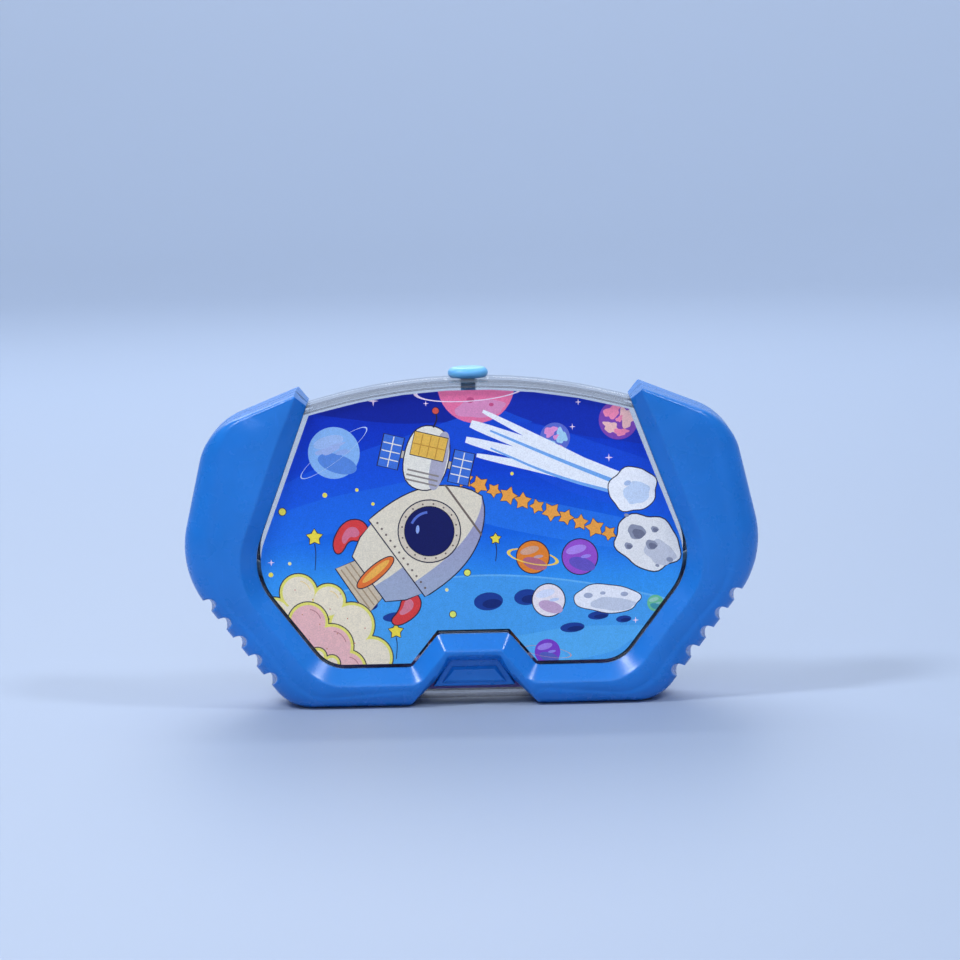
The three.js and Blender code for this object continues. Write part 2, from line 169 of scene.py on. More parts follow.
# Clear plastic: mostly lets light straight through, with gloss by angle and a trace of milkiness.
def clearPlastic(name, tint, haze=0.05, gloss=0.06, edgeShare=0.5):
    n = Nodes(name)
    through = n.add("ShaderNodeBsdfTransparent")
    slant = n.add("ShaderNodeLayerWeight")
    slant.inputs["Blend"].default_value = 0.35
    thickEdge = tuple(c * edgeShare for c in tint[:3]) + (1.0,)
    n.link(n.mix(slant.outputs["Facing"], tint, thickEdge), through.inputs["Color"])
    n.shader.inputs["Base Color"].default_value = (0.38, 0.38, 0.4, 1)
    n.shader.inputs["Roughness"].default_value = gloss
    n.shader.inputs["IOR"].default_value = 1.55
    sheen = n.add("ShaderNodeLayerWeight")
    sheen.inputs["Blend"].default_value = 0.09
    streaks = n.spread(n.noise(70, 3, 0.5, (1, 1, 0.4)), 0.35, 0.75, haze * 0.6, haze * 1.8)
    amount = n.add("ShaderNodeMath", operation="ADD", use_clamp=True)
    n.link(sheen.outputs["Facing"], amount.inputs[0])
    n.link(streaks, amount.inputs[1])
    n.bump(n.noise(90, 2), 0.0001, 0.15)
    blend = n.add("ShaderNodeMixShader")
    n.link(amount.outputs[0], blend.inputs[0])
    n.link(through.outputs[0], blend.inputs[1])
    n.link(n.shader.outputs[0], blend.inputs[2])
    n.link(blend.outputs[0], n.out.inputs["Surface"])
    return n.material


# Printed card: flat colours from the "print" attribute over a sky that fades from top to bottom, with
# print grain.
def printedCard(name, skyStops, low, high):
    n = Nodes(name)
    split = n.add("ShaderNodeSeparateXYZ")
    n.link(n.place, split.inputs[0])
    ripple = n.spread(n.noise(26, 2), 0, 1, -0.07, 0.07)
    climb = n.add("ShaderNodeMath", operation="ADD")
    n.link(n.spread(split.outputs["Z"], low * mm, high * mm, 0, 1), climb.inputs[0])
    n.link(ripple, climb.inputs[1])
    ramp = n.add("ShaderNodeValToRGB")
    ramp.color_ramp.elements[0].color = skyStops[0][1]
    ramp.color_ramp.elements[0].position = skyStops[0][0]
    ramp.color_ramp.elements[1].color = skyStops[-1][1]
    ramp.color_ramp.elements[1].position = skyStops[-1][0]
    for place, color in skyStops[1:-1]:
        ramp.color_ramp.elements.new(place).color = color
    n.link(climb.outputs[0], ramp.inputs[0])
    ink = n.add("ShaderNodeAttribute", attribute_name="print")
    inked = n.add("ShaderNodeAttribute", attribute_name="inked")
    art = n.mix(inked.outputs["Fac"], ramp.outputs["Color"], ink.outputs["Color"])
    grain = n.spread(n.noise(2600, 2, 0.7), 0.3, 0.7, 0.86, 1.1)
    paper = n.add("ShaderNodeMath", operation="MULTIPLY")
    n.link(grain, paper.inputs[0])
    n.link(n.spread(n.noise(900, 2), 0.3, 0.7, 0.95, 1.04), paper.inputs[1])
    shade = n.add("ShaderNodeCombineXYZ")
    for socket in shade.inputs:
        n.link(paper.outputs[0], socket)
    n.link(n.mix(1.0, art, shade.outputs[0], "MULTIPLY"), n.shader.inputs["Base Color"])
    n.link(n.spread(n.noise(300, 3), 0.3, 0.7, 0.42, 0.56), n.shader.inputs["Roughness"])
    n.shader.inputs["Specular IOR Level"].default_value = 0.2
    n.bump(n.noise(1800, 2), 0.00003, 0.2)
    return n.material


shellBlue = mouldedPlastic("shellBlue", srgb(28, 122, 214), 0.26, 0.8, gloss=0.42)
tankClear = clearPlastic("tankClear", (0.93, 0.925, 0.92, 1), 0.03, edgeShare=0.38)
windowClear = clearPlastic("windowClear", (0.985, 0.987, 0.985, 1), 0.025, edgeShare=0.72)
plugVinyl = mouldedPlastic("plugVinyl", srgb(112, 190, 245), 0.36, 0.2, soft=0.5)
jetPlastic = mouldedPlastic("jetPlastic", srgb(130, 200, 245), 0.25, 0.2, soft=0.3)
bellowsRubber = mouldedPlastic("bellowsRubber", srgb(222, 228, 232), 0.6, 0.1, soft=0.2)
buttonYellow = mouldedPlastic("buttonYellow", srgb(255, 196, 40), 0.25, 0.3, coat=0.3)
groundPurple = mouldedPlastic("groundPurple", srgb(122, 92, 206), 0.38, 0.2)
pegOrange = mouldedPlastic("pegOrange", srgb(250, 134, 44), 0.28, 0.2)
ringPlastics = {
    "ring_red": mouldedPlastic("ringRed", srgb(245, 66, 84), 0.25, 0.2, soft=0.1),
    "ring_yellow": mouldedPlastic("ringYellow", srgb(255, 208, 50), 0.25, 0.2, soft=0.1),
    "ring_green": mouldedPlastic("ringGreen", srgb(64, 200, 104), 0.25, 0.2, soft=0.1),
    "ring_pink": mouldedPlastic("ringPink", srgb(250, 120, 190), 0.25, 0.2, soft=0.1),
}
print("materials ready")


# Mesh helpers
def gridFaces(rows, columns, closeRows=False, closeColumns=False):
    r = np.arange(rows if closeRows else rows - 1)
    c = np.arange(columns if closeColumns else columns - 1)
    r, c = np.meshgrid(r, c, indexing="ij")
    nextRow, nextColumn = (r + 1) % rows, (c + 1) % columns
    corners = (r * columns + c, nextRow * columns + c, nextRow * columns + nextColumn,
               r * columns + nextColumn)
    return np.stack(corners, -1).reshape(-1, 4)


def outwardFaces(points, faces):  # turns a closed mesh's faces round if its signed volume is negative
    fans = np.array([(face[0], face[k], face[k + 1]) for face in faces for k in range(1, len(face) - 1)])
    a, b, c = (points[fans[:, k]] for k in range(3))
    volume = np.einsum("ij,ij->i", a, np.cross(b, c)).sum()
    return faces if volume > 0 else [list(reversed(list(f))) for f in faces]


# Links a mesh as a piece that rides on a body and stands for CAD nodes.
def addPiece(name, mesh, body, nodes=()):
    piece = bpy.data.objects.new(name, mesh)
    scene.collection.objects.link(piece)
    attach(piece, body)
    if nodes:
        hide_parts(*nodes)
    return piece


def newPiece(name, points, faces, material, body, nodes=(), sharp=40):
    mesh = bpy.data.meshes.new(name)
    mesh.from_pydata((np.asarray(points) * mm).tolist(), [], [list(map(int, f)) for f in faces])
    mesh.validate()
    mesh.shade_smooth()
    if sharp:
        mesh.set_sharp_from_angle(angle=math.radians(sharp))
    mesh.materials.append(material)
    return addPiece(name, mesh, body, nodes)


# A round body: a profile of (radius, height) turned about an axis along Y or Z. Poles close to single points.
def turnedSurface(profile, centre, axis="Z", sides=64):
    profile = np.asarray(profile, float)
    closed = np.allclose(profile[0], profile[-1])
    if closed:
        profile = profile[:-1]
    angle = np.linspace(0, 2 * math.pi, sides, endpoint=False)
    radius, height = profile[:, 0, None], profile[:, 1, None]
    one, two, along = radius * np.cos(angle), radius * np.sin(angle), height + 0 * angle
    grid = np.stack((one, two, along) if axis == "Z" else (one, along, two), -1).reshape(-1, 3)
    faces = gridFaces(len(profile), sides, closeRows=closed, closeColumns=True).tolist()
    if not closed:
        grid, faces = closePoles(grid, faces, sides, len(profile))
    points = grid + np.array([centre[0], 0, centre[1]]) if axis == "Y" else grid + np.array([*centre, 0])
    return points, outwardFaces(points, faces)


# The first and last ring of a turned body have no radius, so each becomes one point.
def closePoles(grid, faces, sides, rings):
    swap = np.arange(len(grid))
    swap[:sides] = 0
    swap[(rings - 1) * sides:] = (rings - 1) * sides
    kept = np.unique(swap)
    lookUp = np.searchsorted(kept, swap)
    merged = []
    for face in faces:
        ring = list(dict.fromkeys(lookUp[face].tolist()))
        if len(ring) > 2:
            merged.append(ring)
    return grid[kept], merged


# Rounds the corners of a profile with short curves: each inner point gives way to a quadratic curve.
def softProfile(profile, radius=0.4, steps=4):
    profile = np.asarray(profile, float)
    rounded = [profile[:1]]
    for before, corner, after in zip(profile[:-2], profile[1:-1], profile[2:]):
        toBefore, toAfter = before - corner, after - corner
        reach = min(radius, 0.45 * np.linalg.norm(toBefore), 0.45 * np.linalg.norm(toAfter))
        start = corner + toBefore / np.linalg.norm(toBefore) * reach
        end = corner + toAfter / np.linalg.norm(toAfter) * reach
        t = np.linspace(0, 1, steps)[:, None]
        rounded.append((1 - t) ** 2 * start + 2 * t * (1 - t) * corner + t ** 2 * end)
    rounded.append(profile[-1:])
    return np.concatenate(rounded)


# Outlines are in mm, seen from the front: x to the right, z up.
# A path through corners (x, z, radius), from its first point to its last. stepCounts gives the steps of each
# straight and each arc in turn. A corner that doesn't turn becomes a straight stretch of half length radius.
def cornerPath(corners, stepCounts):
    pieces = []
    last = np.array(corners[0][:2], float)
    counts = iter(stepCounts)
    for k in range(1, len(corners) - 1):
        corner = np.array(corners[k][:2], float)
        radius = corners[k][2]
        toBefore = np.array(corners[k - 1][:2]) - corner
        toAfter = np.array(corners[k + 1][:2]) - corner
        toBefore /= np.linalg.norm(toBefore)
        toAfter /= np.linalg.norm(toAfter)
        half = math.acos(max(-1.0, min(1.0, float(toBefore @ toAfter)))) / 2
        straightOn = half > math.pi / 2 - 0.01
        reach = radius if straightOn else radius / math.tan(half)
        start, end = corner + toBefore * reach, corner + toAfter * reach
        t = np.linspace(0, 1, next(counts), endpoint=False)[:, None]
        pieces.append(last + (start - last) * t)
        t = np.linspace(0, 1, next(counts), endpoint=False)
        if straightOn:
            pieces.append(start + (end - start) * t[:, None])
        else:
            middle = toBefore + toAfter
            centre = corner + middle / np.linalg.norm(middle) * radius / math.sin(half)
            first = math.atan2(*(start - centre)[::-1])
            sweep = math.atan2(*(end - centre)[::-1]) - first
            sweep = (sweep + math.pi) % (2 * math.pi) - math.pi
            angle = first + sweep * t
            pieces.append(centre + radius * np.stack((np.cos(angle), np.sin(angle)), -1))
        last = end
    t = np.linspace(0, 1, next(counts) + 1)[:, None]
    pieces.append(last + (np.array(corners[-1][:2], float) - last) * t)
    lastStretch = len(pieces) - 1
    progress = [k + np.linspace(0, 1, len(p), endpoint=k == lastStretch) for k, p in enumerate(pieces)]
    return np.concatenate(pieces), np.concatenate(progress)


def bothSides(half):  # the left side, mirrored, then the right side, sharing the point in the middle
    return np.concatenate([half * np.array([-1, 1]), half[::-1][1:]])


def alongEdge(corners, distance):  # moves every corner of an open path sideways by a distance
    pts = np.array([c[:2] for c in corners], float)
    step = np.diff(pts, axis=0)
    step /= np.linalg.norm(step, axis=1)[:, None]
    normal = np.stack((-step[:, 1], step[:, 0]), -1)
    before, after = np.vstack((normal[:1], normal)), np.vstack((normal, normal[-1:]))
    mitre = before + after
    return pts + mitre * (2 * distance / (mitre ** 2).sum(1))[:, None]


# The two blue shell halves
shell = dict(
    opening=[(45.9, 86.9, 0), (50.0, 75.91, 5), (63.5, 39.6, 18), (42.05, 11.3, 11), (17.8, 11.3, 2.4),
             (13.95, 16.0, 1.5), (10.1, 20.7, 2.2), (0, 20.7, 0)],
    outside=[(49.2, 90.2, 0), (74.7, 80.3, 18), (84.1, 40.2, 27), (52.9, 0, 13), (18.5, 0, 2.6),
             (11.2, 7.2, 2), (6.6, 13.1, 1.2), (0, 13.1, 0)],
    steps=[34, 26, 18, 70, 170, 30, 18, 12, 8, 8, 8, 10, 8],
    crestRadii=[0, 5, 22, 15, 5.5, 1.5, 1.2, 0],
    bevelWidth=4.3, crestSoftness=0.16, crown=1.3, innerWall=1.4, tipAbove=86.5,
    rounding=[1.0, 1.9, 7.5, 8.5, 7.5, 6.0, 6.0, 5.4, 2.6, 2.2, 2.1, 2.1, 2.1, 2.1],
    roundingDepth=[1.4, 2.6, 7.5, 8.5, 8.0, 7.0, 6.4, 5.8, 4.4, 3.9, 3.8, 3.8, 3.8, 3.8],
    slant=[0, 0, 0, 0, 0, 0, 0, 0, 0.3, 0.8, 0.9, 0.9, 0.9, 0.9],
    wall=1.4, thinTip=14,
)
grooves = dict(count=5, first=(76.0, 29.8), pitch=6.83, angle=0.91, radius=1.85, depth=0.75, lean=0.22,
               softness=0.15)


def softMin(a, b, k):  # smooth minimum: -k log(exp(-a / k) + exp(-b / k))
    return -k * np.logaddexp(-a / k, -b / k)


# The shell's face is a profile carried along two outlines at once. From the opening's edge a bevel climbs
# to the crest; from there a low crown crosses the grip, then a quarter ellipse turns down into the side
# wall.
def shellGrid(s, edgeHeight, crestHeight):
    opening, progress = cornerPath(s["opening"], s["steps"])
    outside, _ = cornerPath(s["outside"], s["steps"])
    crestCorners = alongEdge(s["opening"], s["bevelWidth"])
    crestCorners[0] = np.array(s["outside"][0][:2]) * 0.85 + np.array(s["opening"][0][:2]) * 0.15
    crest, _ = cornerPath([(x, z, r) for (x, z), r in zip(crestCorners, s["crestRadii"])], s["steps"])
    halves = dict(opening=opening, crest=crest, outside=outside)
    full = {key: bothSides(half) for key, half in halves.items()}
    stations = np.concatenate([progress, progress[::-1][1:]])
    ends = np.arange(len(s["rounding"]))
    turn = np.interp(stations, ends, s["rounding"])[:, None]
    turnDepth = np.interp(stations, ends, s["roundingDepth"])[:, None]
    slant = np.interp(stations, ends, s["slant"])[:, None]
    inner, top, outer = (full[key][:, None, :] for key in ("opening", "crest", "outside"))
    across = np.linalg.norm(outer - top, axis=2)
    turn = np.minimum(turn, across * 0.9)
    turnDepth = np.minimum(turnDepth, turn * 1.6 + 0.5) * (1 - slant) + turnDepth * slant
    turnStart = outer + (top - outer) * (turn / across)[:, :, None]

    up = np.array([0, 0.5, 0.93])  # inner wall: short along the opening, down to the seam at the tips
    wallFoot = np.where(full["opening"][:, 1:] > s["tipAbove"], 0, edgeHeight - s["innerWall"])
    wallHeight = wallFoot + (edgeHeight - wallFoot) * up
    wallPlace = inner + 0 * up[None, :, None]

    climb = np.array([0, 0.04, 0.15, 0.3, 0.45, 0.6, 0.72, 0.82, 0.9, 0.96, 1.0])
    bevelPlace = inner + (top - inner) * climb[None, :, None]
    slope = crestHeight - edgeHeight
    bevelHeight = softMin(edgeHeight + slope * climb, crestHeight + 0 * climb, s["crestSoftness"])
    bevelHeight = bevelHeight + 0 * turn

    cross = np.linspace(0, 1, 18)[1:] ** 1.6
    facePlace = top + (turnStart - top) * cross[None, :, None]
    faceWidth = across - turn
    beyond = edgeHeight + slope * (1 + faceWidth * cross / s["bevelWidth"])
    crown = s["crown"] * np.clip(faceWidth / 9, 0, 1)
    faceHeight = softMin(beyond, crestHeight - crown * cross ** 2, s["crestSoftness"])

    phi = np.linspace(math.pi / 2, 0, 16)[1:]
    inward = (top - outer) / across[:, :, None]
    turnPlace = outer + inward * (turn * (1 - np.cos(phi)))[:, :, None]
    edgeTop = crestHeight - crown
    roundDrop, slantDrop = 1 - np.sin(phi), np.cos(phi) ** 1.15
    turnHeight = edgeTop - turnDepth * (roundDrop * (1 - slant) + slantDrop * slant)

    down = np.linspace(0, 1, 9)[1:]
    sidePlace = outer + 0 * down[None, :, None]
    sideHeight = (edgeTop - turnDepth) * (1 - down)

    place = np.concatenate([wallPlace, bevelPlace, facePlace, turnPlace, sidePlace], axis=1)
    height = np.concatenate([wallHeight, bevelHeight, faceHeight, turnHeight, sideHeight], axis=1)
    return place, height


# Each groove is a round-bottomed slot that leans in towards the face: it sets the least depth under the
# straight diagonal edge to (axis depth at this height) + sqrt(radius^2 - sideways^2).
def carveGrooves(place, height, g):
    along = np.array([math.cos(g["angle"]), math.sin(g["angle"])])
    inward = np.array([-along[1], along[0]])
    for side in (1, -1):
        flipped = place * np.array([side, 1])
        offset = flipped - np.array(g["first"])
        depth, sideways = offset @ inward, offset @ along
        for k in range(g["count"]):
            across = sideways + k * g["pitch"]
            half = np.sqrt(np.clip(g["radius"] ** 2 - across ** 2, 0, None))
            axisDepth = g["depth"] - g["radius"] + height * math.tan(g["lean"])
            floor = np.where(np.abs(across) < g["radius"], axisDepth + half, -9)
            reach = np.abs(depth) < 9
            carved = np.where(reach, -softMin(-depth, -floor, g["softness"]), depth)
            flipped = flipped + (np.where(floor > -8, carved, depth) - depth)[..., None] * inward
            offset = flipped - np.array(g["first"])
            depth = offset @ inward
        place = flipped * np.array([side, 1])
    return place


def shellHalf(name, partingY, facing, edgeY, crestY, material):
    place, height = shellGrid(shell, abs(edgeY - partingY), abs(crestY - partingY))
    place = carveGrooves(place, height, grooves)
    points = np.stack((place[..., 0], partingY + facing * height, place[..., 1]), -1)
    rows, columns = height.shape
    faces = gridFaces(rows, columns)
    first, last = list(range(columns)), [(rows - 1) * columns + k for k in range(columns)]
    faces = faces.tolist() + [first[::-1], last]
    if facing < 0:
        faces = [f[::-1] for f in faces]
    piece = newPiece(name + "_shell", points.reshape(-1, 3), faces, material, "shell",
                     [name], sharp=38)
    thin = piece.vertex_groups.new(name="wall")
    for row in range(rows):
        fromTip = min(row, rows - 1 - row)
        share = min(1.0, 0.03 + (fromTip / shell["thinTip"]) ** 2)
        thin.add(list(range(row * columns, (row + 1) * columns)), share, "REPLACE")
    thick = piece.modifiers.new("wall", "SOLIDIFY")
    thick.thickness = shell["wall"] * mm
    thick.offset = -1
    thick.vertex_group = "wall"
    print(name, "done,", rows, "stations")
    return piece


shellHalf("rear_frame", 1.5, 1, 11.3, 15.5, shellBlue)
frontFrame = shellHalf("front_frame", 1.2, -1, -8.3, -12.5, shellBlue)

# The plate under the bridge, with a raised panel on it. Outlines are (x, z) in mm.
bridge = dict(plate=[(-11.7, 5.4), (11.7, 5.4), (6.6, 14.6), (-6.6, 14.6)], plateY=(-2, 10.4), plateEdge=0.5,
              panel=[(-9.3, 6.4), (9.3, 6.4), (6.3, 11.2), (-6.3, 11.2)], panelY=(9.5, 11.7), panelEdge=0.9)


# The outline at its back, again below its face, and drawn in by the edge at the face.
def plate(name, outline, fromY, toY, edge, material):
    outline = np.array(outline, float)
    centre = outline.mean(0)
    small = centre + (outline - centre) * (1 - edge / np.abs(outline - centre).max(0))
    levels = [(outline, fromY), (outline, toY - edge), (small, toY)]
    dense = [(np.concatenate([a + (b - a) * np.linspace(0, 1, 20, endpoint=False)[:, None]
                              for a, b in zip(o, np.roll(o, -1, 0))]), y) for o, y in levels]
    points = np.concatenate([np.stack((o[:, 0], np.full(len(o), y), o[:, 1]), -1) for o, y in dense])
    count = len(dense[0][0])
    faces = gridFaces(3, count, closeColumns=True).tolist()
    faces += [list(range(count)), list(range(3 * count - 1, 2 * count - 1, -1))]
    piece = newPiece(name, points, outwardFaces(points, faces), material, "shell", sharp=30)
    soft = piece.modifiers.new("soft", "BEVEL")
    soft.width = 0.25 * mm
    soft.segments = 3
    soft.limit_method = "ANGLE"


plate("bridge_plate", bridge["plate"], *bridge["plateY"], bridge["plateEdge"], shellBlue)
plate("bridge_panel", bridge["panel"], *bridge["panelY"], bridge["panelEdge"], shellBlue)


# Joins another mesh to a piece, or cuts it away, and keeps the result.
def applyBoolean(piece, other, operation):
    cut = piece.modifiers.new("join", "BOOLEAN")
    cut.operation = operation
    cut.solver = "EXACT"
    cut.object = other
    bpy.context.view_layer.update()
    piece.data = bpy.data.meshes.new_from_object(piece.evaluated_get(bpy.context.evaluated_depsgraph_get()))
    piece.modifiers.clear()
    bpy.data.objects.remove(other)


# Bores round holes along Y through a piece.
def boreHoles(piece, places, radius, fromY, toY):
    sides = 96
    angle = np.linspace(0, 2 * math.pi, sides, endpoint=False)
    cutters = bpy.data.meshes.new("cutters")
    points, faces = [], []
    for x, z in places:
        start = len(points) * sides
        for y in (fromY, toY):
            points.append(np.stack((x + radius * np.cos(angle), np.full(sides, y),
                                    z + radius * np.sin(angle)), -1))
        wall = (gridFaces(2, sides, closeColumns=True) + start).tolist()
        wall += [list(range(start + sides - 1, start - 1, -1)), list(range(start + sides, start + 2 * sides))]
        faces += wall
    cutters.from_pydata((np.concatenate(points) * mm).tolist(), [], faces)
    tidy = bmesh.new()
    tidy.from_mesh(cutters)
    bmesh.ops.recalc_face_normals(tidy, faces=tidy.faces)
    tidy.to_mesh(cutters)
    tidy.free()
    cutter = bpy.data.objects.new("cutter", cutters)
    scene.collection.objects.link(cutter)
    applyBoolean(piece, cutter, "DIFFERENCE")
    piece.data.set_sharp_from_angle(angle=math.radians(38))


boreHoles(frontFrame, [(-72, 44), (72, 44)], 6.2, -14, -7)

# Turned pieces: profiles are (radius, height) in mm
buttons = dict(x=72, z=44, radius=5.9, flange=6.35, back=-9.1, front=-15.5, dish=0.6, corner=0.9)
domes = dict(rim=-1.2, top=-8.8, press=3.5)
plug = dict(y=-4, head=5.75, stem=2.15, bottom=86.4, underside=93.1, skirt=92.65, top=95.7, corner=0.9)
rings = dict(radius=4.6, section=0.9, y=1.5, spots=[
    (-36, 46.1, "ring_red"), (-12, 60.1, "ring_yellow"), (12, 52.1, "ring_green"), (36, 40.1, "ring_pink"),
    (-24, 14.3, "ring_yellow"), (0, 14.3, "ring_green"), (24, 14.3, "ring_pink")])
pegs = dict(radius=1.2, collar=4.2, ball=1.9, y=1.5, spots=[(-36, 46), (-12, 60), (12, 52), (36, 40)])


def makeButton(word, side, b):
    front, r = b["front"], b["radius"]
    profile = [(0, b["back"]), (b["flange"], b["back"]), (b["flange"], b["back"] - 1), (r, b["back"] - 1),
               (r, front + 1.2), (r - 0.9, front), (r - 2.2, front), (r - 3.6, front + b["dish"]),
               (0, front + b["dish"])]
    points, faces = turnedSurface(softProfile(profile, b["corner"], 6), (side * b["x"], b["z"]), "Y", 96)
    newPiece(word + "_button_cap", points, faces, buttonYellow, word + "_button",
             [word + "_button"])


def makeDome(word, side, b, d):
    rim, top = d["rim"], d["top"]
    profile = [(3.4, rim), (6.5, rim), (6.5, rim - 0.8), (5.1, rim - 0.8), (4.6, rim - 3),
               (5.1, rim - 4.6), (4.3, top),
               (0.4, top), (0.4, top + 0.9), (3.4, top + 0.9), (4.2, rim - 4.2), (3.8, rim - 3), (3.4, rim)]
    smooth = softProfile(profile, 0.7, 5)
    points, faces = turnedSurface(smooth, (side * b["x"], b["z"]), "Y", 72)
    piece = newPiece(word + "_dome", points, faces, bellowsRubber, "shell",
                     [word + "_bellows"])
    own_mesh(piece)
    ring = [(5.6, rim - 1), (7, rim - 1), (7, rim - 2), (5.6, rim - 2), (5.6, rim - 1)]
    points, faces = turnedSurface(softProfile(ring, 0.25, 4), (side * b["x"], b["z"]), "Y", 72)
    newPiece(word + "_clamp", points, faces, shellBlue, "shell", [word + "_clamp_ring"])


def makePlug(p):
    head, stem, top = p["head"], p["stem"], p["top"]
    skirt = p["skirt"]
    profile = [(0, p["bottom"]), (stem - 0.4, p["bottom"]), (stem, p["bottom"] + 0.9), (stem, p["underside"]),
               (4.1, p["underside"]), (4.2, skirt), (head - 0.6, skirt), (head, skirt + 0.9),
               (head, top - 1.2),
               (head - 0.9, top - 0.2), (head - 2.2, top), (0, top)]
    points, faces = turnedSurface(softProfile(profile, p["corner"], 7), (0, p["y"]), "Z", 96)
    newPiece("plug", points, faces, plugVinyl, "filler_plug", ["filler_plug"], sharp=60)


def makeRing(number, r, x, z, slotName):
    t = np.linspace(0, 2 * math.pi, 25)
    profile = np.stack((r["radius"] + r["section"] * np.cos(t), z + r["section"] * (1 + np.sin(t))), -1)
    points, faces = turnedSurface(profile, (x, r["y"]), "Z", 80)
    name = "ring_%d" % number
    newPiece(name + "_hoop", points, faces, ringPlastics[slotName], name, [name], sharp=0)


def makePeg(number, p, x, collarZ):
    r, ball = p["radius"], p["ball"]
    profile = [(0, 8.3), (r, 8.3), (r, collarZ - 2), (p["collar"], collarZ - 1), (p["collar"], collarZ),
               (r, collarZ),
               (r, collarZ + 9), (ball, collarZ + 10), (ball, collarZ + 11.6), (ball - 0.9, collarZ + 12.8),
               (0, collarZ + 12.8)]
    points, faces = turnedSurface(softProfile(profile, 0.8, 6), (x, p["y"]), "Z", 48)
    newPiece("peg_%d_post" % number, points, faces, pegOrange, "shell", ["peg_%d" % number])


for word, side in (("left", -1), ("right", 1)):
    makeButton(word, side, buttons)
    makeDome(word, side, buttons, domes)
makePlug(plug)
for number, (x, z, slotName) in enumerate(rings["spots"], 1):
    makeRing(number, rings, x, z, slotName)
for number, (x, z) in enumerate(pegs["spots"], 1):
    makePeg(number, pegs, x, z)
print("buttons, domes, plug, rings and pegs done")

# Jet tubes
tube = dict(outer=1.7, inner=0.9, sides=24, stations=90, route=[
    (68, 5, 43), (60.5, 5, 40), (54, 4, 32), (49.4, 2.6, 25.4), (46.4, 1.5, 23.4), (44.6, 1.5, 25.4),
    (44.2, 1.5, 28.4)])


# Catmull-Rom: between p1 and p2 the curve is 1/2 (2 p1 + (p2 - p0) t + (2 p0 - 5 p1 + 4 p2 - p3) t^2
# + (3 p1 - p0 - 3 p2 + p3) t^3).
def smoothRoute(route, stations):
    p = np.array(route, float)
    p = np.vstack((2 * p[0] - p[1], p, 2 * p[-1] - p[-2]))
    u = np.linspace(0, len(route) - 1 - 1e-6, stations)
    k = u.astype(int)
    t = (u - k)[:, None]
    a, b, c, d = p[k], p[k + 1], p[k + 2], p[k + 3]
    return 0.5 * (2 * b + (c - a) * t + (2 * a - 5 * b + 4 * c - d) * t ** 2
                  + (3 * b - a - 3 * c + d) * t ** 3)


# Points = route + radius (one cos a + two sin a), run along the outside and back along the inside.
def makeTube(word, side, s):
    route = smoothRoute(s["route"], s["stations"]) * np.array([side, 1, 1])
    along = np.gradient(route, axis=0)
    along /= np.linalg.norm(along, axis=1)[:, None]
    one = np.cross(along, np.array([0, 1, 0]))
    one /= np.linalg.norm(one, axis=1)[:, None]
    two = np.cross(along, one)
    angle = np.linspace(0, 2 * math.pi, s["sides"], endpoint=False)[None, :, None]
    circle = one[:, None] * np.cos(angle) + two[:, None] * np.sin(angle)
    outside = route[:, None] + circle * s["outer"]
    inside = (route[:, None] + circle * s["inner"])[::-1]
    points = np.concatenate([outside, inside]).reshape(-1, 3)
    faces = gridFaces(2 * s["stations"], s["sides"], closeRows=True, closeColumns=True)
    newPiece(word + "_jet", points, outwardFaces(points, faces.tolist()), jetPlastic, "shell",
             [word + "_jet_tube"])


makeTube("left", -1, tube)
makeTube("right", 1, tube)

# Moon ground
ground = dict(reach=40, top=13, hill=1.2, span=24, front=-3.8, back=7, foot=4.2, footReach=34, toe=9.5,
              corner=0.7,
              craters=[(-30, 3, 2.4, 0.5), (-18, -1, 1.9, 0.4), (-5, 4.5, 1.7, 0.4), (6, -1.5, 2.1, 0.45),
                       (18, 4, 2.6, 0.5),
                       (30, -1, 1.8, 0.4)])


# Height = top + hill cos(2 pi x / span) - sum of depth exp(-(r / size)^2) over the craters.
def makeGround(g):
    x = np.linspace(-g["reach"], g["reach"], 240)[:, None]
    floor = np.interp(np.abs(x), (g["footReach"], g["reach"]), (g["foot"], g["toe"]))
    c = g["corner"]
    turn = np.linspace(0, math.pi / 2, 5)
    topY = np.concatenate([g["front"] + c - c * np.cos(turn),
                           np.linspace(g["front"] + c, g["back"] - c, 30)[1:-1],
                           g["back"] - c + c * np.sin(turn)])[None]
    drop = np.concatenate([c - c * np.sin(turn), np.zeros(28), c - c * np.cos(turn)])[None]
    height = g["top"] + g["hill"] * np.cos(2 * math.pi * x / g["span"]) - drop
    for craterX, craterY, size, depth in g["craters"]:
        height = height - depth * np.exp(-((x - craterX) ** 2 + (topY - craterY) ** 2) / size ** 2)
    y = np.concatenate([topY + 0 * x, np.full_like(x, g["back"]), np.full_like(x, g["front"])], 1)
    z = np.concatenate([height, floor, floor], 1)
    points = np.stack((x + 0 * y, y, z), -1)
    rows, columns = z.shape
    faces = gridFaces(rows, columns, closeColumns=True).tolist()
    faces += [list(range(columns)), list(range(rows * columns - 1, (rows - 1) * columns - 1, -1))]
    points = points.reshape(-1, 3)
    newPiece("moon_ground", points, outwardFaces(points, faces), groundPurple, "shell",
             ["ground_insert"], sharp=35)


makeGround(ground)
print("tubes and ground done")

# Clear tank: the CAD shapes with their edges broken by a small bevel
clearEdge = dict(width=0.28, segments=2, angle=35)


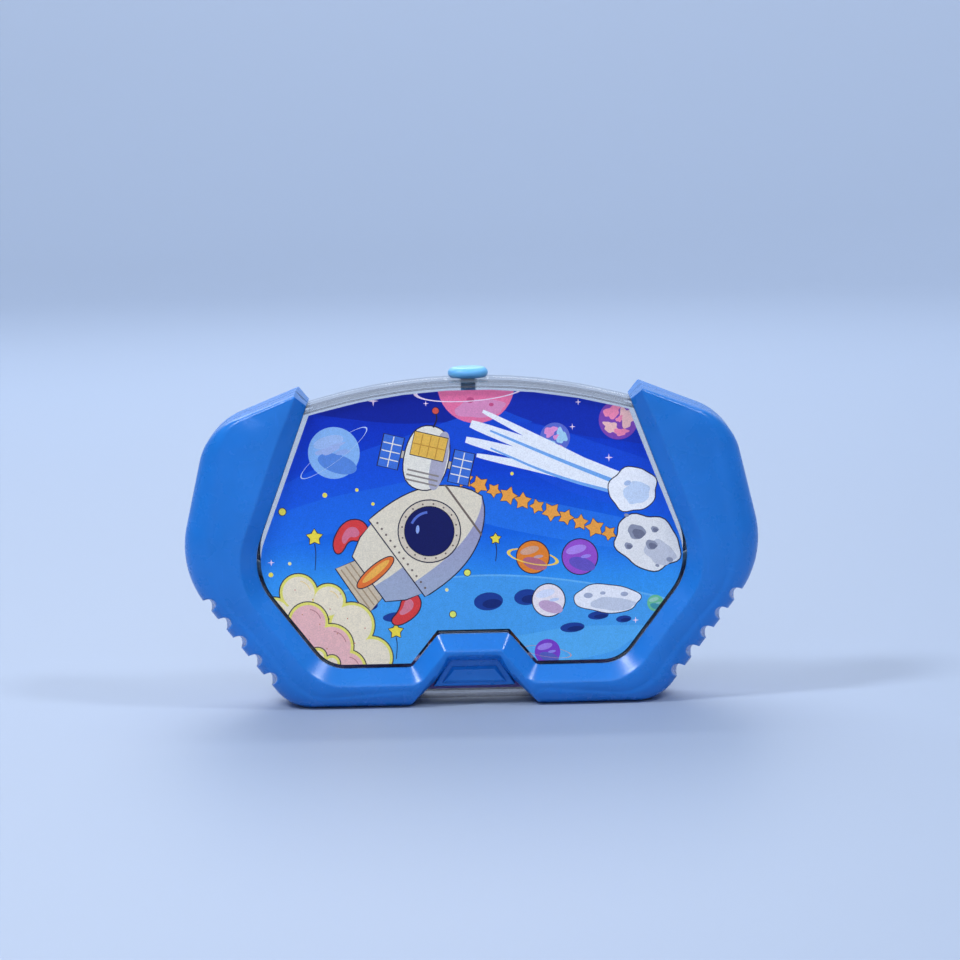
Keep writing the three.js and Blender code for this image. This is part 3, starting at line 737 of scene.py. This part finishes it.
# The neck's sides move out past the gap round it, and it is joined to the roof.
def joinNeck(piece, neck, n):
    mesh = neck.data.copy()
    flat = np.empty(len(mesh.vertices) * 3, dtype=np.float32)
    mesh.vertices.foreach_get("co", flat)
    points = flat.reshape(-1, 3) / mm
    beside = np.abs(points[:, 0]) > n["side"]
    points[:, 0] += np.where(beside, np.sign(points[:, 0]) * n["grow"], 0)
    points[:, 1] -= np.where(points[:, 1] < points[:, 1].min() + 0.01, n["grow"], 0)
    mesh.vertices.foreach_set("co", (points * mm).ravel())
    other = bpy.data.objects.new("other", mesh)
    scene.collection.objects.link(other)
    applyBoolean(piece, other, "UNION")
    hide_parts(neck.name)


def makeClear(name, node, material, e):
    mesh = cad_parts[node].data.copy()
    mesh.name = name
    work = bmesh.new()
    work.from_mesh(mesh)
    bmesh.ops.remove_doubles(work, verts=work.verts, dist=0.005 * mm)
    bmesh.ops.dissolve_limit(work, angle_limit=math.radians(1), verts=work.verts, edges=work.edges)
    work.to_mesh(mesh)
    work.free()
    mesh.materials.clear()
    mesh.materials.append(material)
    piece = addPiece(name, mesh, "shell", [node])
    if node == "tank_front":
        joinNeck(piece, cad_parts["filler_neck"], dict(side=5.5, grow=0.13))
    piece.data.shade_smooth()
    piece.data.set_sharp_from_angle(angle=math.radians(30))
    bevel = piece.modifiers.new("edges", "BEVEL")
    bevel.width = e["width"] * mm
    bevel.segments = e["segments"]
    bevel.limit_method = "ANGLE"
    bevel.angle_limit = math.radians(e["angle"])
    bevel.harden_normals = True


makeClear("tank_window", "tank_front", windowClear, clearEdge)
makeClear("tank_rear_half", "tank_back", tankClear, clearEdge)
print("tank done")

# Printed art: shapes are outlines in (u, z), u to the viewer's right, in mm
lineInk = (38, 34, 60)


def turned(points, tilt, u, z):
    c, s = math.cos(math.radians(tilt)), math.sin(math.radians(tilt))
    return np.asarray(points, float) @ np.array([[c, s], [-s, c]]) + np.array([u, z])


def oval(u, z, a, b=None, tilt=0, start=0, end=360, n=36):
    t = np.radians(np.linspace(start, end, n, endpoint=end - start < 360))
    return turned(np.stack((a * np.cos(t), (b or a) * np.sin(t)), -1), tilt, u, z)


def hoop(u, z, a, b, width, tilt, start, end):  # part of a flat ring seen at a slant
    inner = oval(u, z, a - width, b * (a - width) / a, tilt, start, end, 30)
    return np.concatenate([oval(u, z, a, b, tilt, start, end, 30), inner[::-1]])


def star(u, z, r, points=5, waist=0.48, turn=90):
    t = np.radians(turn + np.arange(2 * points) * 180 / points)
    reach = np.where(np.arange(2 * points) % 2 == 0, r, r * waist)
    return np.stack((u + reach * np.cos(t), z + reach * np.sin(t)), -1)


# Oval whose radius is 1 + amount sin(waves t + shift) + amount / 2 sin((waves + 3) t + 2 shift).
def lump(u, z, a, b, tilt=0, waves=5, amount=0.08, shift=0.0):
    t = np.linspace(0, 2 * math.pi, 44, endpoint=False)
    r = 1 + amount * np.sin(waves * t + shift) + amount * 0.5 * np.sin((waves + 3) * t + 2 * shift)
    return turned(np.stack((a * r * np.cos(t), b * r * np.sin(t)), -1), tilt, u, z)


def bar(left, right, low, high):
    return [(left, low), (left, high), (right, high), (right, low)]


def soften(points, closed=True, rounds=3):  # cuts the corners of an outline, several times over
    p = np.asarray(points, float)
    for _ in range(rounds):
        after = np.roll(p, -1, axis=0) if closed else p[1:]
        before = p if closed else p[:-1]
        cut = np.stack((0.75 * before + 0.25 * after, 0.25 * before + 0.75 * after), 1).reshape(-1, 2)
        p = cut if closed else np.vstack((p[:1], cut, p[-1:]))
    return p


def stroke(points, widthStart, widthEnd):  # a softened line given a width that changes along it
    p = soften(points, closed=False, rounds=2)
    way = np.gradient(p, axis=0)
    way /= np.linalg.norm(way, axis=1)[:, None]
    side = np.stack((-way[:, 1], way[:, 0]), -1) * np.linspace(widthStart, widthEnd, len(p))[:, None] / 2
    return np.concatenate([p + side, (p - side)[::-1]])


def grown(outline, d):  # moves each point outwards by d, square to the line through its neighbours
    along = np.roll(outline, -1, axis=0) - np.roll(outline, 1, axis=0)
    along /= np.linalg.norm(along, axis=1)[:, None] + 1e-9
    x, z = outline[:, 0], outline[:, 1]
    area = (x * np.roll(z, -1) - z * np.roll(x, -1)).sum()
    return outline + np.stack((along[:, 1], -along[:, 0]), -1) * d * (1 if area > 0 else -1)


class Drawing:
    def __init__(self):
        self.shapes = []

    def ink(self, outline, color, amount=1.0, line=0.0):
        if line:
            self.shapes.append((grown(outline, line), lineInk, 1.0))
        self.shapes.append((outline, color, amount))

    def globe(self, u, z, r, color, shade, light, line=0.0):
        self.ink(oval(u, z, r), color, 1.0, line)
        self.ink(oval(u + 0.12 * r, z - 0.42 * r, 0.78 * r, 0.36 * r, -18), shade, 0.75)
        self.ink(oval(u - 0.2 * r, z + 0.42 * r, 0.6 * r, 0.24 * r, 14), light, 0.75)
        self.ink(oval(u + 0.35 * r, z + 0.02 * r, 0.3 * r, 0.1 * r, 8), light, 0.6)

    def ringed(self, u, z, r, color, shade, light, ringColor, a, b, width, tilt, line=0.0):
        self.ink(hoop(u, z, a, b, width, tilt, 0, 180), ringColor)
        self.globe(u, z, r, color, shade, light, line)
        self.ink(hoop(u, z, a, b, width, tilt, 180, 360), ringColor)

    def marbled(self, u, z, r, base, one, two, shift):
        self.ink(oval(u, z, r), base)
        self.ink(lump(u - 0.3 * r, z + 0.42 * r, 0.45 * r, 0.3 * r, 30, 3, 0.2, shift), one)
        self.ink(lump(u + 0.42 * r, z + 0.1 * r, 0.34 * r, 0.5 * r, 10, 3, 0.2, shift + 1), two)
        self.ink(lump(u - 0.38 * r, z - 0.38 * r, 0.42 * r, 0.26 * r, -30, 4, 0.18, shift + 2), two)
        self.ink(lump(u + 0.12 * r, z - 0.62 * r, 0.36 * r, 0.18 * r, 0, 3, 0.2, shift), one)
        self.ink(lump(u + 0.05 * r, z + 0.05 * r, 0.2 * r, 0.13 * r, 40, 3, 0.2, shift), one)

    def sparkle(self, u, z, r, color=(250, 222, 240)):
        self.ink(star(u, z, r, 4, 0.24), color)

    def kiteStar(self, u, z, r, bottom):
        self.ink(stroke([(u, z - r * 0.8), (u + 0.35, (z + bottom) / 2), (u - 0.1, bottom)], 0.28, 0.2),
                 lineInk)
        self.ink(star(u, z, r, 5, 0.55), (250, 226, 72), 1.0, 0.3)

    def cloud(self, lobes, fill, crease):  # lobes that run together inside one dark line and one yellow rim
        for grow, color in ((0.3, lineInk), (0, (238, 228, 112)), (-0.8, fill)):
            for u, z, r in lobes:
                self.ink(oval(u, z, r + grow), color)
        for u, z, r in lobes[:3]:
            self.ink(hoop(u, z, r - 1.9, r - 1.9, 0.3, 0, 15, 80), crease)

    def crater(self, u, z, a, b, dark=(26, 62, 148)):
        self.ink(oval(u, z, a, b, 4), dark)
        self.ink(oval(u + 0.25 * a, z - 0.25 * b, 0.66 * a, 0.5 * b, 4), (16, 42, 116))


def rearArt():
    d = Drawing()
    for u, z, a, b, tilt, color, amount in [  # soft bands of lighter and darker sky
            (-30, 88, 34, 6, -8, (6, 22, 128), 0.6), (-24, 68, 46, 7.5, 20, (26, 96, 228), 0.45),
            (-36, 56, 34, 5, 14, (40, 124, 238), 0.4), (34, 84, 30, 8, -14, (14, 44, 166), 0.6),
            (38, 66, 34, 8, -20, (24, 86, 222), 0.45), (26, 52, 40, 5, -12, (54, 142, 240), 0.4)]:
        d.ink(lump(u, z, a, b, tilt, 3, 0.06, u), color, amount)
    moon = [(-75, 26), (-48, 31.5), (-25, 35), (0, 37), (16, 36.4), (34, 34), (50, 30.5), (75, 24),
            (75, -5), (-75, -5)]
    d.ink(grown(soften(moon), 0.5), (120, 196, 244), 0.7)
    d.ink(soften(moon), (76, 164, 234), 0.8)
    d.ink(lump(20, 16, 30, 5, 6, 3, 0.1), (104, 186, 240), 0.5)
    for u, z, a, b in [(-30.5, 29, 3.2, 1.6), (-22, 25.6, 4, 1.4), (28.5, 21.5, 3.5, 1.4), (36, 24.8, 3, 1.2),
                       (43.3, 23.6, 2.2, 1), (4.5, 29.5, 4.2, 2.6), (15.5, 30.5, 3.6, 2.3),
                       (8, 20.5, 2, 0.8)]:
        d.crater(u, z, a, b)
    gold, pale, lime = (250, 232, 90), (250, 240, 160), (236, 240, 110)
    for u, z, r, color in [(-54, 56.5, 1, gold), (-41.7, 61, 0.7, gold), (-32.5, 62.3, 0.5, gold),
                           (-28, 58.2, 0.5, gold), (-52.3, 41.6, 0.5, pale), (-57.8, 38.5, 0.7, gold),
                           (-1.4, 37.9, 0.9, lime), (-7.4, 33.1, 0.5, pale), (-5.8, 26, 0.9, lime),
                           (12, 66, 0.5, gold), (57, 40, 0.5, gold)]:
        d.ink(oval(u, z, r, n=16), color, 1.0, 0.22 if r > 0.8 else 0)
    for u, z, r in [(-27.2, 87.5, 1.5), (-12.2, 86.5, 0.8), (-57.6, 42, 1), (31.3, 86, 0.9),
                    (29.5, 79, 0.9), (39.8, 70, 1.2),
                    (46.7, 23.2, 1), (-47, 82, 0.6), (-3, 45, 0.6), (54, 68, 0.7)]:
        d.sparkle(u, z, r)
    for u, z, r, bottom in [(-45, 49, 2.4, 39.5), (-22.3, 21.5, 2.2, 13.4), (6.9, 47.5, 1.6, 41)]:
        d.kiteStar(u, z, r, bottom)

    d.ink(hoop(0.5, 90.2, 16.2, 3.4, 1.1, 3, 0, 180), (240, 214, 240))
    d.ink(oval(2.2, 91.6, 11), (240, 118, 162))
    d.ink(lump(3.2, 84.8, 7.2, 2.6, 4, 4, 0.06), (250, 160, 190), 0.8)
    d.ink(oval(0.5, 87.2, 1.1, 0.8), (206, 82, 132))
    d.ink(oval(6.5, 85.8, 0.7, 0.5), (206, 82, 132))
    d.ink(hoop(0.5, 90.2, 16.2, 3.4, 1.1, 3, 180, 360), (250, 226, 244))
    d.ringed(-38.8, 73, 7.4, (140, 186, 238), (104, 156, 224), (188, 218, 250), (198, 216, 244), 11.9, 2.4,
             0.35, 36)
    d.ink(lump(-40, 74, 4.2, 1, 20, 3, 0.2), (206, 228, 252), 0.6)
    d.marbled(42.7, 80.7, 5.6, (134, 74, 178), (252, 142, 176), (250, 196, 190), 0.4)
    d.marbled(24.5, 76, 4.3, (96, 112, 206), (236, 152, 208), (170, 214, 240), 1.7)
    d.ringed(17.5, 42, 4.6, (242, 136, 48), (214, 98, 44), (255, 182, 84), (255, 216, 92), 7.6, 2.1, 1.0,
             -12, 0.3)
    d.globe(31, 41.8, 5, (158, 84, 204), (118, 56, 172), (206, 146, 236), 0.3)
    d.globe(52.5, 28, 2.4, (112, 196, 150), (70, 150, 130), (180, 226, 170))
    d.ringed(21.2, 14.6, 3.7, (128, 66, 198), (96, 44, 164), (186, 120, 226), (226, 160, 120), 7, 1.5, 0.3,
             -10)
    d.globe(21.8, 29.5, 4.6, (246, 236, 240), (232, 176, 190), (255, 250, 252), 0.3)

    # comet with a long white tail, and a trail of orange stars under it
    for u, z, width in [(0.5, 80.5, 5.2), (-1, 76, 4.2), (4, 84, 2.2), (2, 71.5, 2.6)]:
        d.ink(stroke([(47, 60.5), (26, 60.5 + (z - 60.5) * 0.5), (u, z)], width + 2.2, width * 0.4),
              (246, 248, 252))
    d.ink(stroke([(44, 62), (26, 69.5), (6, 78.4)], 1.4, 0.5), (120, 176, 238))
    d.ink(stroke([(43, 59.5), (24, 65), (6, 73.4)], 1.1, 0.4), (120, 176, 238))
    d.ink(lump(46.5, 60.8, 6.8, 6.2, 10, 5, 0.05), (250, 250, 252), 1.0, 0.3)
    d.ink(lump(47.6, 59.8, 3.8, 3.2, 10, 5, 0.06), (206, 222, 244))
    d.ink(oval(45, 62.6, 1, 0.7, 20), (176, 196, 228))
    t = np.linspace(0, 1, 11)
    for k, (u, z) in enumerate(zip(-1.5 + 41 * t, 64.6 - 16.2 * t)):
        d.ink(star(u, z, 2.5 + 0.35 * math.sin(2.3 * k), 5, 0.56, 90 + 17 * k), (250, 168, 72), 1.0, 0.2)

    # cratered asteroid
    d.ink(lump(50.5, 45.6, 9.6, 7.4, -28, 5, 0.06, 1), (240, 238, 236), 1.0, 0.35)
    d.ink(lump(54, 42.5, 4.6, 3.2, -28, 4, 0.08), (204, 206, 216))
    for u, z, r in [(47.4, 48.6, 2.6), (51.6, 44.8, 1.7), (45, 44.6, 1.2), (52.6, 49.2, 1.1)]:
        d.ink(lump(u, z, r, 0.8 * r, -20, 3, 0.07), (150, 154, 172))
        d.ink(lump(u + 0.2 * r, z - 0.2 * r, 0.7 * r, 0.5 * r, -20, 3, 0.07), (116, 120, 142))
    for u, z, r in [(56.8, 40.4, 1), (53.2, 38.8, 0.6), (44.6, 53.4, 0.7)]:
        d.ink(oval(u, z, r, 0.7 * r, -20, n=20), (150, 154, 172))
    d.ink(lump(38.6, 29.6, 9.4, 4, -3, 4, 0.05), (244, 244, 248), 1.0, 0.25)
    d.ink(lump(40.2, 28, 6.4, 1.9, -3, 4, 0.06), (206, 212, 226))
    for u, z, r in [(33.2, 30.6, 1.3), (37.4, 31.2, 0.8), (43.6, 30.8, 1.1)]:
        d.ink(oval(u, z, r, 0.6 * r, n=20), (170, 178, 200))

    drawRocket(d)
    drawSatellite(d)
    d.cloud([(-50, 33.2, 5.4), (-41.5, 30.6, 5), (-57, 27, 5), (-35, 23.5, 6.6), (-29.6, 14, 6.2),
             (-40, 16, 8), (-50, 24, 7)],
            (247, 232, 202), (248, 220, 150))
    d.cloud([(-47.5, 24.6, 5.8), (-41, 17.6, 6.4), (-36.5, 11, 5.4), (-50, 18, 6)], (244, 190, 186),
            (206, 140, 140))
    d.cloud([(-45, 14.6, 2.6), (-41, 12.6, 2.4)], (248, 232, 206), (230, 190, 150))
    for k in range(14):
        d.ink(oval(-51 + 21 * ((k * 0.618) % 1), 34 - 20 * (k / 14), 0.22, n=6), (212, 140, 110))
    return d.shapes


# The rocket is drawn along its own length s, from the skirt at 0 to the nose, then turned and set down.
def drawRocket(d):
    cream, shade, red, rivet = (236, 224, 200), (206, 190, 166), (228, 66, 66), (120, 104, 96)

    def put(points):
        return turned(points, 35, -21.4, 42.5)

    for fin in ([(-2, 10), (-1.5, 15), (-6, 17.6), (-12, 15), (-13.6, 11.6), (-12, 10.6), (-8, 12.6),
                 (-5.5, 10)],
                [(-2, -10), (-1.5, -14), (-5, -16.6), (-11.5, -16), (-12.4, -13.4), (-8.5, -12.6),
                 (-5.5, -10)]):
        d.ink(soften(put(fin), rounds=2), red, 1.0, 0.35)
        d.ink(soften(put(np.array(fin) * 0.5 + np.array(fin).mean(0) * 0.5 + 0.4), rounds=2),
              (246, 122, 110), 0.8)
    d.ink(put([(-10, 6.5), (-16, 8), (-16.5, -8), (-10, -6.5)]), (214, 196, 168), 1.0, 0.35)
    for s in (-11.6, -13.2, -14.8):
        d.ink(put(bar(s - 0.4, s, -6.9, 6.9)), (176, 150, 120))
    d.ink(put([(0, 12.4), (-5, 11), (-10, 8), (-10, -8), (-5, -11), (0, -12.4)]), cream, 1.0, 0.35)
    d.ink(put([(0, -3), (-5, -3), (-10, -2.6), (-10, -8), (-5, -11), (0, -12.4)]), shade, 0.6)
    side = np.linspace(0, 1, 24)
    length, width = 30, 13.6
    rise = width * (1 - side ** 2.6) ** 0.75 * (1 + 0.12 * side)
    body = np.concatenate([np.stack((length * side, rise), -1),
                           np.stack((length * side, -rise), -1)[::-1][1:]])
    d.ink(put(body), cream, 1.0, 0.35)
    darkSide = [np.stack((length * side, -rise), -1), np.stack((length * side, -rise * 0.62), -1)[::-1]]
    d.ink(put(np.concatenate(darkSide)), shade, 0.6)
    d.ink(put([(23.2, 9.1), (23.8, 8.7), (23.8, -8.7), (23.2, -9.1)]), rivet)
    for k in range(12):
        d.ink(put(oval(1.4, -11.6 + 2.1 * k, 0.35, n=8)), rivet)
    d.ink(put(oval(12, 0.8, 8.8)), (222, 208, 186), 1.0, 0.35)
    d.ink(put(oval(12, 0.8, 7)), (16, 24, 92), 1.0, 0.25)
    d.ink(put(hoop(12, 0.8, 5.8, 5.8, 0.7, 0, 60, 120)), (92, 118, 206))
    d.ink(put(oval(9.6, 3.2, 1.2, 0.5, 50)), (150, 176, 236))
    for k in range(16):
        turn = k * math.pi / 8
        d.ink(put(oval(12 + 7.9 * math.cos(turn), 0.8 + 7.9 * math.sin(turn), 0.28, n=8)), rivet)
    d.ink(put(oval(-7.5, 0.4, 6.6, 1.9, 4)), (240, 120, 56), 1.0, 0.3)
    d.ink(put(oval(-7.2, 0.6, 5, 1, 4)), (250, 184, 84))


def drawSatellite(d):
    cream, blue, foil, foilSeam = (242, 236, 222), (64, 116, 214), (240, 190, 84), (206, 146, 60)

    def put(points):
        return turned(points, -14, -12.5, 70.5)

    for side in (-1, 1):
        d.ink(put(bar(side * 5, side * 8, -1, 1)), (200, 190, 176), 1.0, 0.2)
        d.ink(put(bar(side * 7.5, side * 13.2, -4.6, 4.6)), blue, 1.0, 0.35)
        for w in (-2.3, 0, 2.3):
            d.ink(put(bar(side * 7.7, side * 13, w - 0.15, w + 0.15)), cream)
        d.ink(put(bar(side * 10.2, side * 10.5, -4.4, 4.4)), cream)
    d.ink(put(soften(bar(-6.2, 6.2, -8.6, 9.6))), cream, 1.0, 0.35)
    d.ink(put(soften(bar(1.5, 5.9, -8, 9))), (212, 204, 190), 0.7)
    d.ink(put(bar(-4.8, 4.8, 0.6, 7.2)), foil, 1.0, 0.3)
    for w in (-2.4, 0, 2.4):
        d.ink(put(bar(w - 0.14, w + 0.14, 0.8, 7)), foilSeam)
    d.ink(put(bar(-4.6, 4.6, 3.7, 4)), foilSeam)
    for w in (-3.6, -5, -6.4):
        d.ink(put(bar(-4.6, 4.6, w - 0.5, w)), (150, 140, 132))
    d.ink(put(stroke([(0, 9.4), (0.6, 12), (-0.4, 14)], 0.5, 0.4)), lineInk)
    d.ink(put(oval(-0.4, 14.2, 0.9)), (226, 86, 74), 1.0, 0.2)


def frontArt():
    d = Drawing()
    for u, z, a, b, tilt, color, amount in [
            (-30, 80, 40, 7, 12, (64, 40, 150), 0.55), (28, 66, 44, 8, -14, (90, 52, 176), 0.5),
            (-20, 50, 46, 7, 10, (50, 66, 190), 0.5), (30, 40, 40, 6, -10, (120, 74, 196), 0.45)]:
        d.ink(lump(u, z, a, b, tilt, 3, 0.06, u), color, amount)
    hills = [(-75, 28), (-50, 30), (-34, 25), (-14, 27), (4, 23), (24, 28), (44, 24), (75, 30), (75, -5),
             (-75, -5)]
    d.ink(grown(soften(hills), 0.6), (190, 170, 240), 0.8)
    d.ink(soften(hills), (104, 84, 190))
    nearHills = [(-75, 20), (-44, 17), (-20, 21), (6, 16), (30, 20), (75, 15), (75, -5), (-75, -5)]
    d.ink(soften(nearHills), (80, 60, 164))
    for u, z, a, b in [(-47, 23, 4, 1.5), (-26, 21.5, 3, 1.1), (-3, 20.5, 3.6, 1.3), (14, 23, 2.6, 1),
                       (38, 21, 4, 1.5)]:
        d.crater(u, z, a, b, (60, 44, 134))
    d.ringed(-40, 72, 7, (244, 150, 80), (214, 104, 60), (255, 200, 130), (255, 222, 150), 12, 3, 1.1, 18,
             0.3)
    d.globe(42, 70, 8.4, (226, 110, 168), (182, 74, 140), (250, 168, 204), 0.3)
    d.marbled(0, 78, 5.4, (80, 110, 210), (150, 210, 236), (236, 160, 210), 0.8)
    d.globe(-52, 46, 3.6, (110, 200, 170), (66, 150, 136), (176, 232, 196), 0.25)
    d.ringed(53, 48, 3.4, (160, 96, 214), (120, 62, 178), (208, 156, 240), (250, 214, 150), 6.4, 1.6, 0.6,
             -16, 0.25)
    for u, z, r in [(-55, 58, 1.2), (-28, 84, 1.5), (-16, 66, 1), (14, 88, 1.2), (24, 76, 1.6),
                    (57, 60, 1), (-24, 38, 1.3),
                    (26, 58, 1), (0, 46, 1.4), (46, 36, 1.2), (-42, 40, 0.9), (-8, 89, 0.8), (34, 84, 0.9)]:
        d.sparkle(u, z, r, (255, 244, 214))
    for u, z in [(-48, 84), (-34, 60), (-6, 58), (10, 66), (18, 44), (34, 50), (-60, 50), (50, 84),
                 (-20, 76), (6, 36)]:
        d.ink(oval(u, z, 0.5, n=14), (255, 236, 150))
    d.ink(stroke([(30, 84), (20, 80), (8, 70)], 0.4, 1.6), (240, 244, 252), 0.8)
    return d.shapes


# Cards: the art cut into one flat mesh, so every shape's colour is carried by its own faces
cards = dict(half=[(0, 96.5, 163), (45.3, 84.1, 0), (62.2, 39.7, 16.8), (41.45, 12.5, 9.8), (18, 12.5, 0),
                   (10.3, 21.9, 0)],
             rear=11.5, front=11.05, thickness=0.2, stretch=(0.99, 1.0), lift=0.4)


def roundedLoop(corners, step=0.06):  # closed outline with every cornered radius turned into an arc
    pts = np.array([c[:2] for c in corners], float)
    loop = []
    for before, corner, after, (_, _, radius) in zip(np.roll(pts, 1, 0), pts, np.roll(pts, -1, 0), corners):
        if radius == 0:
            loop.append(corner[None])
            continue
        toBefore = (before - corner) / np.linalg.norm(before - corner)
        toAfter = (after - corner) / np.linalg.norm(after - corner)
        half = math.acos(float(toBefore @ toAfter)) / 2
        centre = corner + (toBefore + toAfter) / np.linalg.norm(toBefore + toAfter) * radius / math.sin(half)
        start, end = (corner + way * radius / math.tan(half) - centre for way in (toBefore, toAfter))
        first, last = math.atan2(start[1], start[0]), math.atan2(end[1], end[0])
        sweep = (last - first + math.pi) % (2 * math.pi) - math.pi
        angle = first + sweep * np.linspace(0, 1, max(8, int(abs(sweep) / step)))
        loop.append(centre + radius * np.stack((np.cos(angle), np.sin(angle)), -1))
    return np.concatenate(loop)


def counterClockwise(outline):  # turns an outline round if its signed area is negative
    x, z = outline[:, 0], outline[:, 1]
    return outline if (x * np.roll(z, -1) - z * np.roll(x, -1)).sum() > 0 else outline[::-1]


# The card and every shape go through one triangulation, and each triangle takes the topmost shape's ink.
def makeCard(name, node, shapes, c, y, facing, material):
    half = c["half"]
    corners = half + [(-x, z, r) for x, z, r in half[::-1] if x > 0]
    moved = [outline * np.array(c["stretch"]) + np.array([0, c["lift"]]) for outline, _, _ in shapes]
    outlines = [counterClockwise(o) for o in [roundedLoop(corners)] + moved]
    ends = np.cumsum([len(o) for o in outlines])
    loops = [list(range(end - len(o), end)) for o, end in zip(outlines, ends)]
    flat = [Vector(p) for p in np.concatenate(outlines).tolist()]
    places, _, triangles, _, _, owners = delaunay_2d_cdt(flat, [], loops, 1, 0.0005)
    kept = [(tri, max(own)) for tri, own in zip(triangles, owners) if 0 in own]
    tops = np.array([top for _, top in kept])
    used, corner = np.unique([tri for tri, _ in kept], return_inverse=True)
    inks = np.array([(0, 0, 0, 0)] + [(*color, 255 * amount) for _, color, amount in shapes],
                    float)[tops] / 255
    flatPlaces = np.array([tuple(p) for p in places])[used]
    points = np.stack((-facing * flatPlaces[:, 0], np.full(len(used), y), flatPlaces[:, 1]), -1)
    mesh = bpy.data.meshes.new(name)
    mesh.from_pydata((points * mm).tolist(), [], corner.reshape(-1, 3).tolist())
    colors = np.concatenate([toLinear(inks[:, :3]), np.ones((len(inks), 1))], 1)
    inkLayer = mesh.attributes.new("print", "FLOAT_COLOR", "CORNER")
    inkLayer.data.foreach_set("color", np.repeat(colors, 3, axis=0).ravel())
    coverLayer = mesh.attributes.new("inked", "FLOAT", "CORNER")
    coverLayer.data.foreach_set("value", np.repeat(inks[:, 3], 3))
    mesh.materials.append(material)
    piece = addPiece(name, mesh, "shell", [node])
    thick = piece.modifiers.new("paper", "SOLIDIFY")
    thick.thickness = c["thickness"] * mm
    thick.offset = -1
    print(name, "done,", len(kept), "faces")


rearSky = [(0, srgb(72, 176, 240)), (0.3, srgb(50, 150, 238)), (0.46, srgb(12, 104, 226)),
           (0.7, srgb(2, 66, 206)),
           (1, srgb(0, 34, 176))]
frontSky = [(0, srgb(128, 122, 240)), (0.35, srgb(84, 98, 232)), (0.7, srgb(50, 58, 196)),
            (1, srgb(30, 34, 142))]
makeCard("rear_print", "rear_label", rearArt(), cards, cards["rear"], 1,
         printedCard("rearPrint", rearSky, 12.5, 91))
makeCard("scene_print", "backdrop_card", frontArt(), cards, cards["front"], -1,
         printedCard("frontPrint", frontSky, 12.5, 91))

# Lights, floor and backdrop
studio = dict(floor=srgb(152, 168, 192), reach=4.0, back=1.6, bend=0.9)


def backdropMaterial():
    n = Nodes("studioPaper")
    n.link(n.mix(n.noise(1.5, 2), tuple(c * 0.97 for c in studio["floor"][:3]) + (1,), studio["floor"]),
           n.shader.inputs["Base Color"])
    n.shader.inputs["Roughness"].default_value = 0.55
    return n.material


# Floor and wall in one sheet: flat, then a quarter circle, then straight up, on all sides of the object.
def makeBackdrop(s):
    t = np.linspace(0, math.pi / 2, 24)
    run = np.concatenate([[0.001, 0.2, s["back"]], s["back"] + s["bend"] * np.sin(t),
                          [s["back"] + s["bend"]]])
    rise = np.concatenate([[0, 0, 0], s["bend"] * (1 - np.cos(t)), [s["reach"]]])
    angle = np.linspace(0, 2 * math.pi, 96, endpoint=False)
    x, y = run[:, None] * np.cos(angle), run[:, None] * np.sin(angle)
    points = np.stack((x, y, rise[:, None] + 0 * angle), -1).reshape(-1, 3)
    mesh = bpy.data.meshes.new("backdrop")
    faces = gridFaces(len(run), 96, closeColumns=True).tolist() + [list(range(96))]
    mesh.from_pydata(points.tolist(), [], faces)
    mesh.shade_smooth()
    mesh.materials.append(backdropMaterial())
    sheet = bpy.data.objects.new("backdrop", mesh)
    scene.collection.objects.link(sheet)


def softbox(name, place, aim, size, power):
    lamp = bpy.data.lights.new(name, "AREA")
    lamp.shape = "RECTANGLE"
    lamp.size, lamp.size_y = size
    lamp.energy = power
    holder = bpy.data.objects.new(name, lamp)
    holder.location = place
    holder.rotation_euler = (Vector(aim) - Vector(place)).to_track_quat("-Z", "Y").to_euler()
    scene.collection.objects.link(holder)


makeBackdrop(studio)
softbox("keyLight", (0.7, 0.42, 1.0), (0, 0, 0.05), (0.22, 0.22), 8.5)
softbox("fillLight", (-0.7, 0.4, 1.0), (0, 0, 0.05), (0.18, 0.18), 5)
softbox("frontLight", (0.1, 1.3, 0.7), (0, 0, 0.05), (0.7, 0.7), 4)
softbox("farWallLight", (0, 1.2, 2.2), (0, 2.6, 0.9), (2.4, 0.8), 14)
softbox("playSideLight", (0.2, -1.0, 0.9), (0, 0, 0.05), (1.0, 0.8), 7)
softbox("wallLight", (0, -1.1, 2.2), (0, -2.6, 0.9), (2.4, 0.8), 54)
world = bpy.data.worlds.new("studio")
world.use_nodes = True
world.node_tree.nodes["Background"].inputs["Color"].default_value = (0.95, 0.97, 1.0, 1)
world.node_tree.nodes["Background"].inputs["Strength"].default_value = 0.4
scene.world = world
print("studio ready")
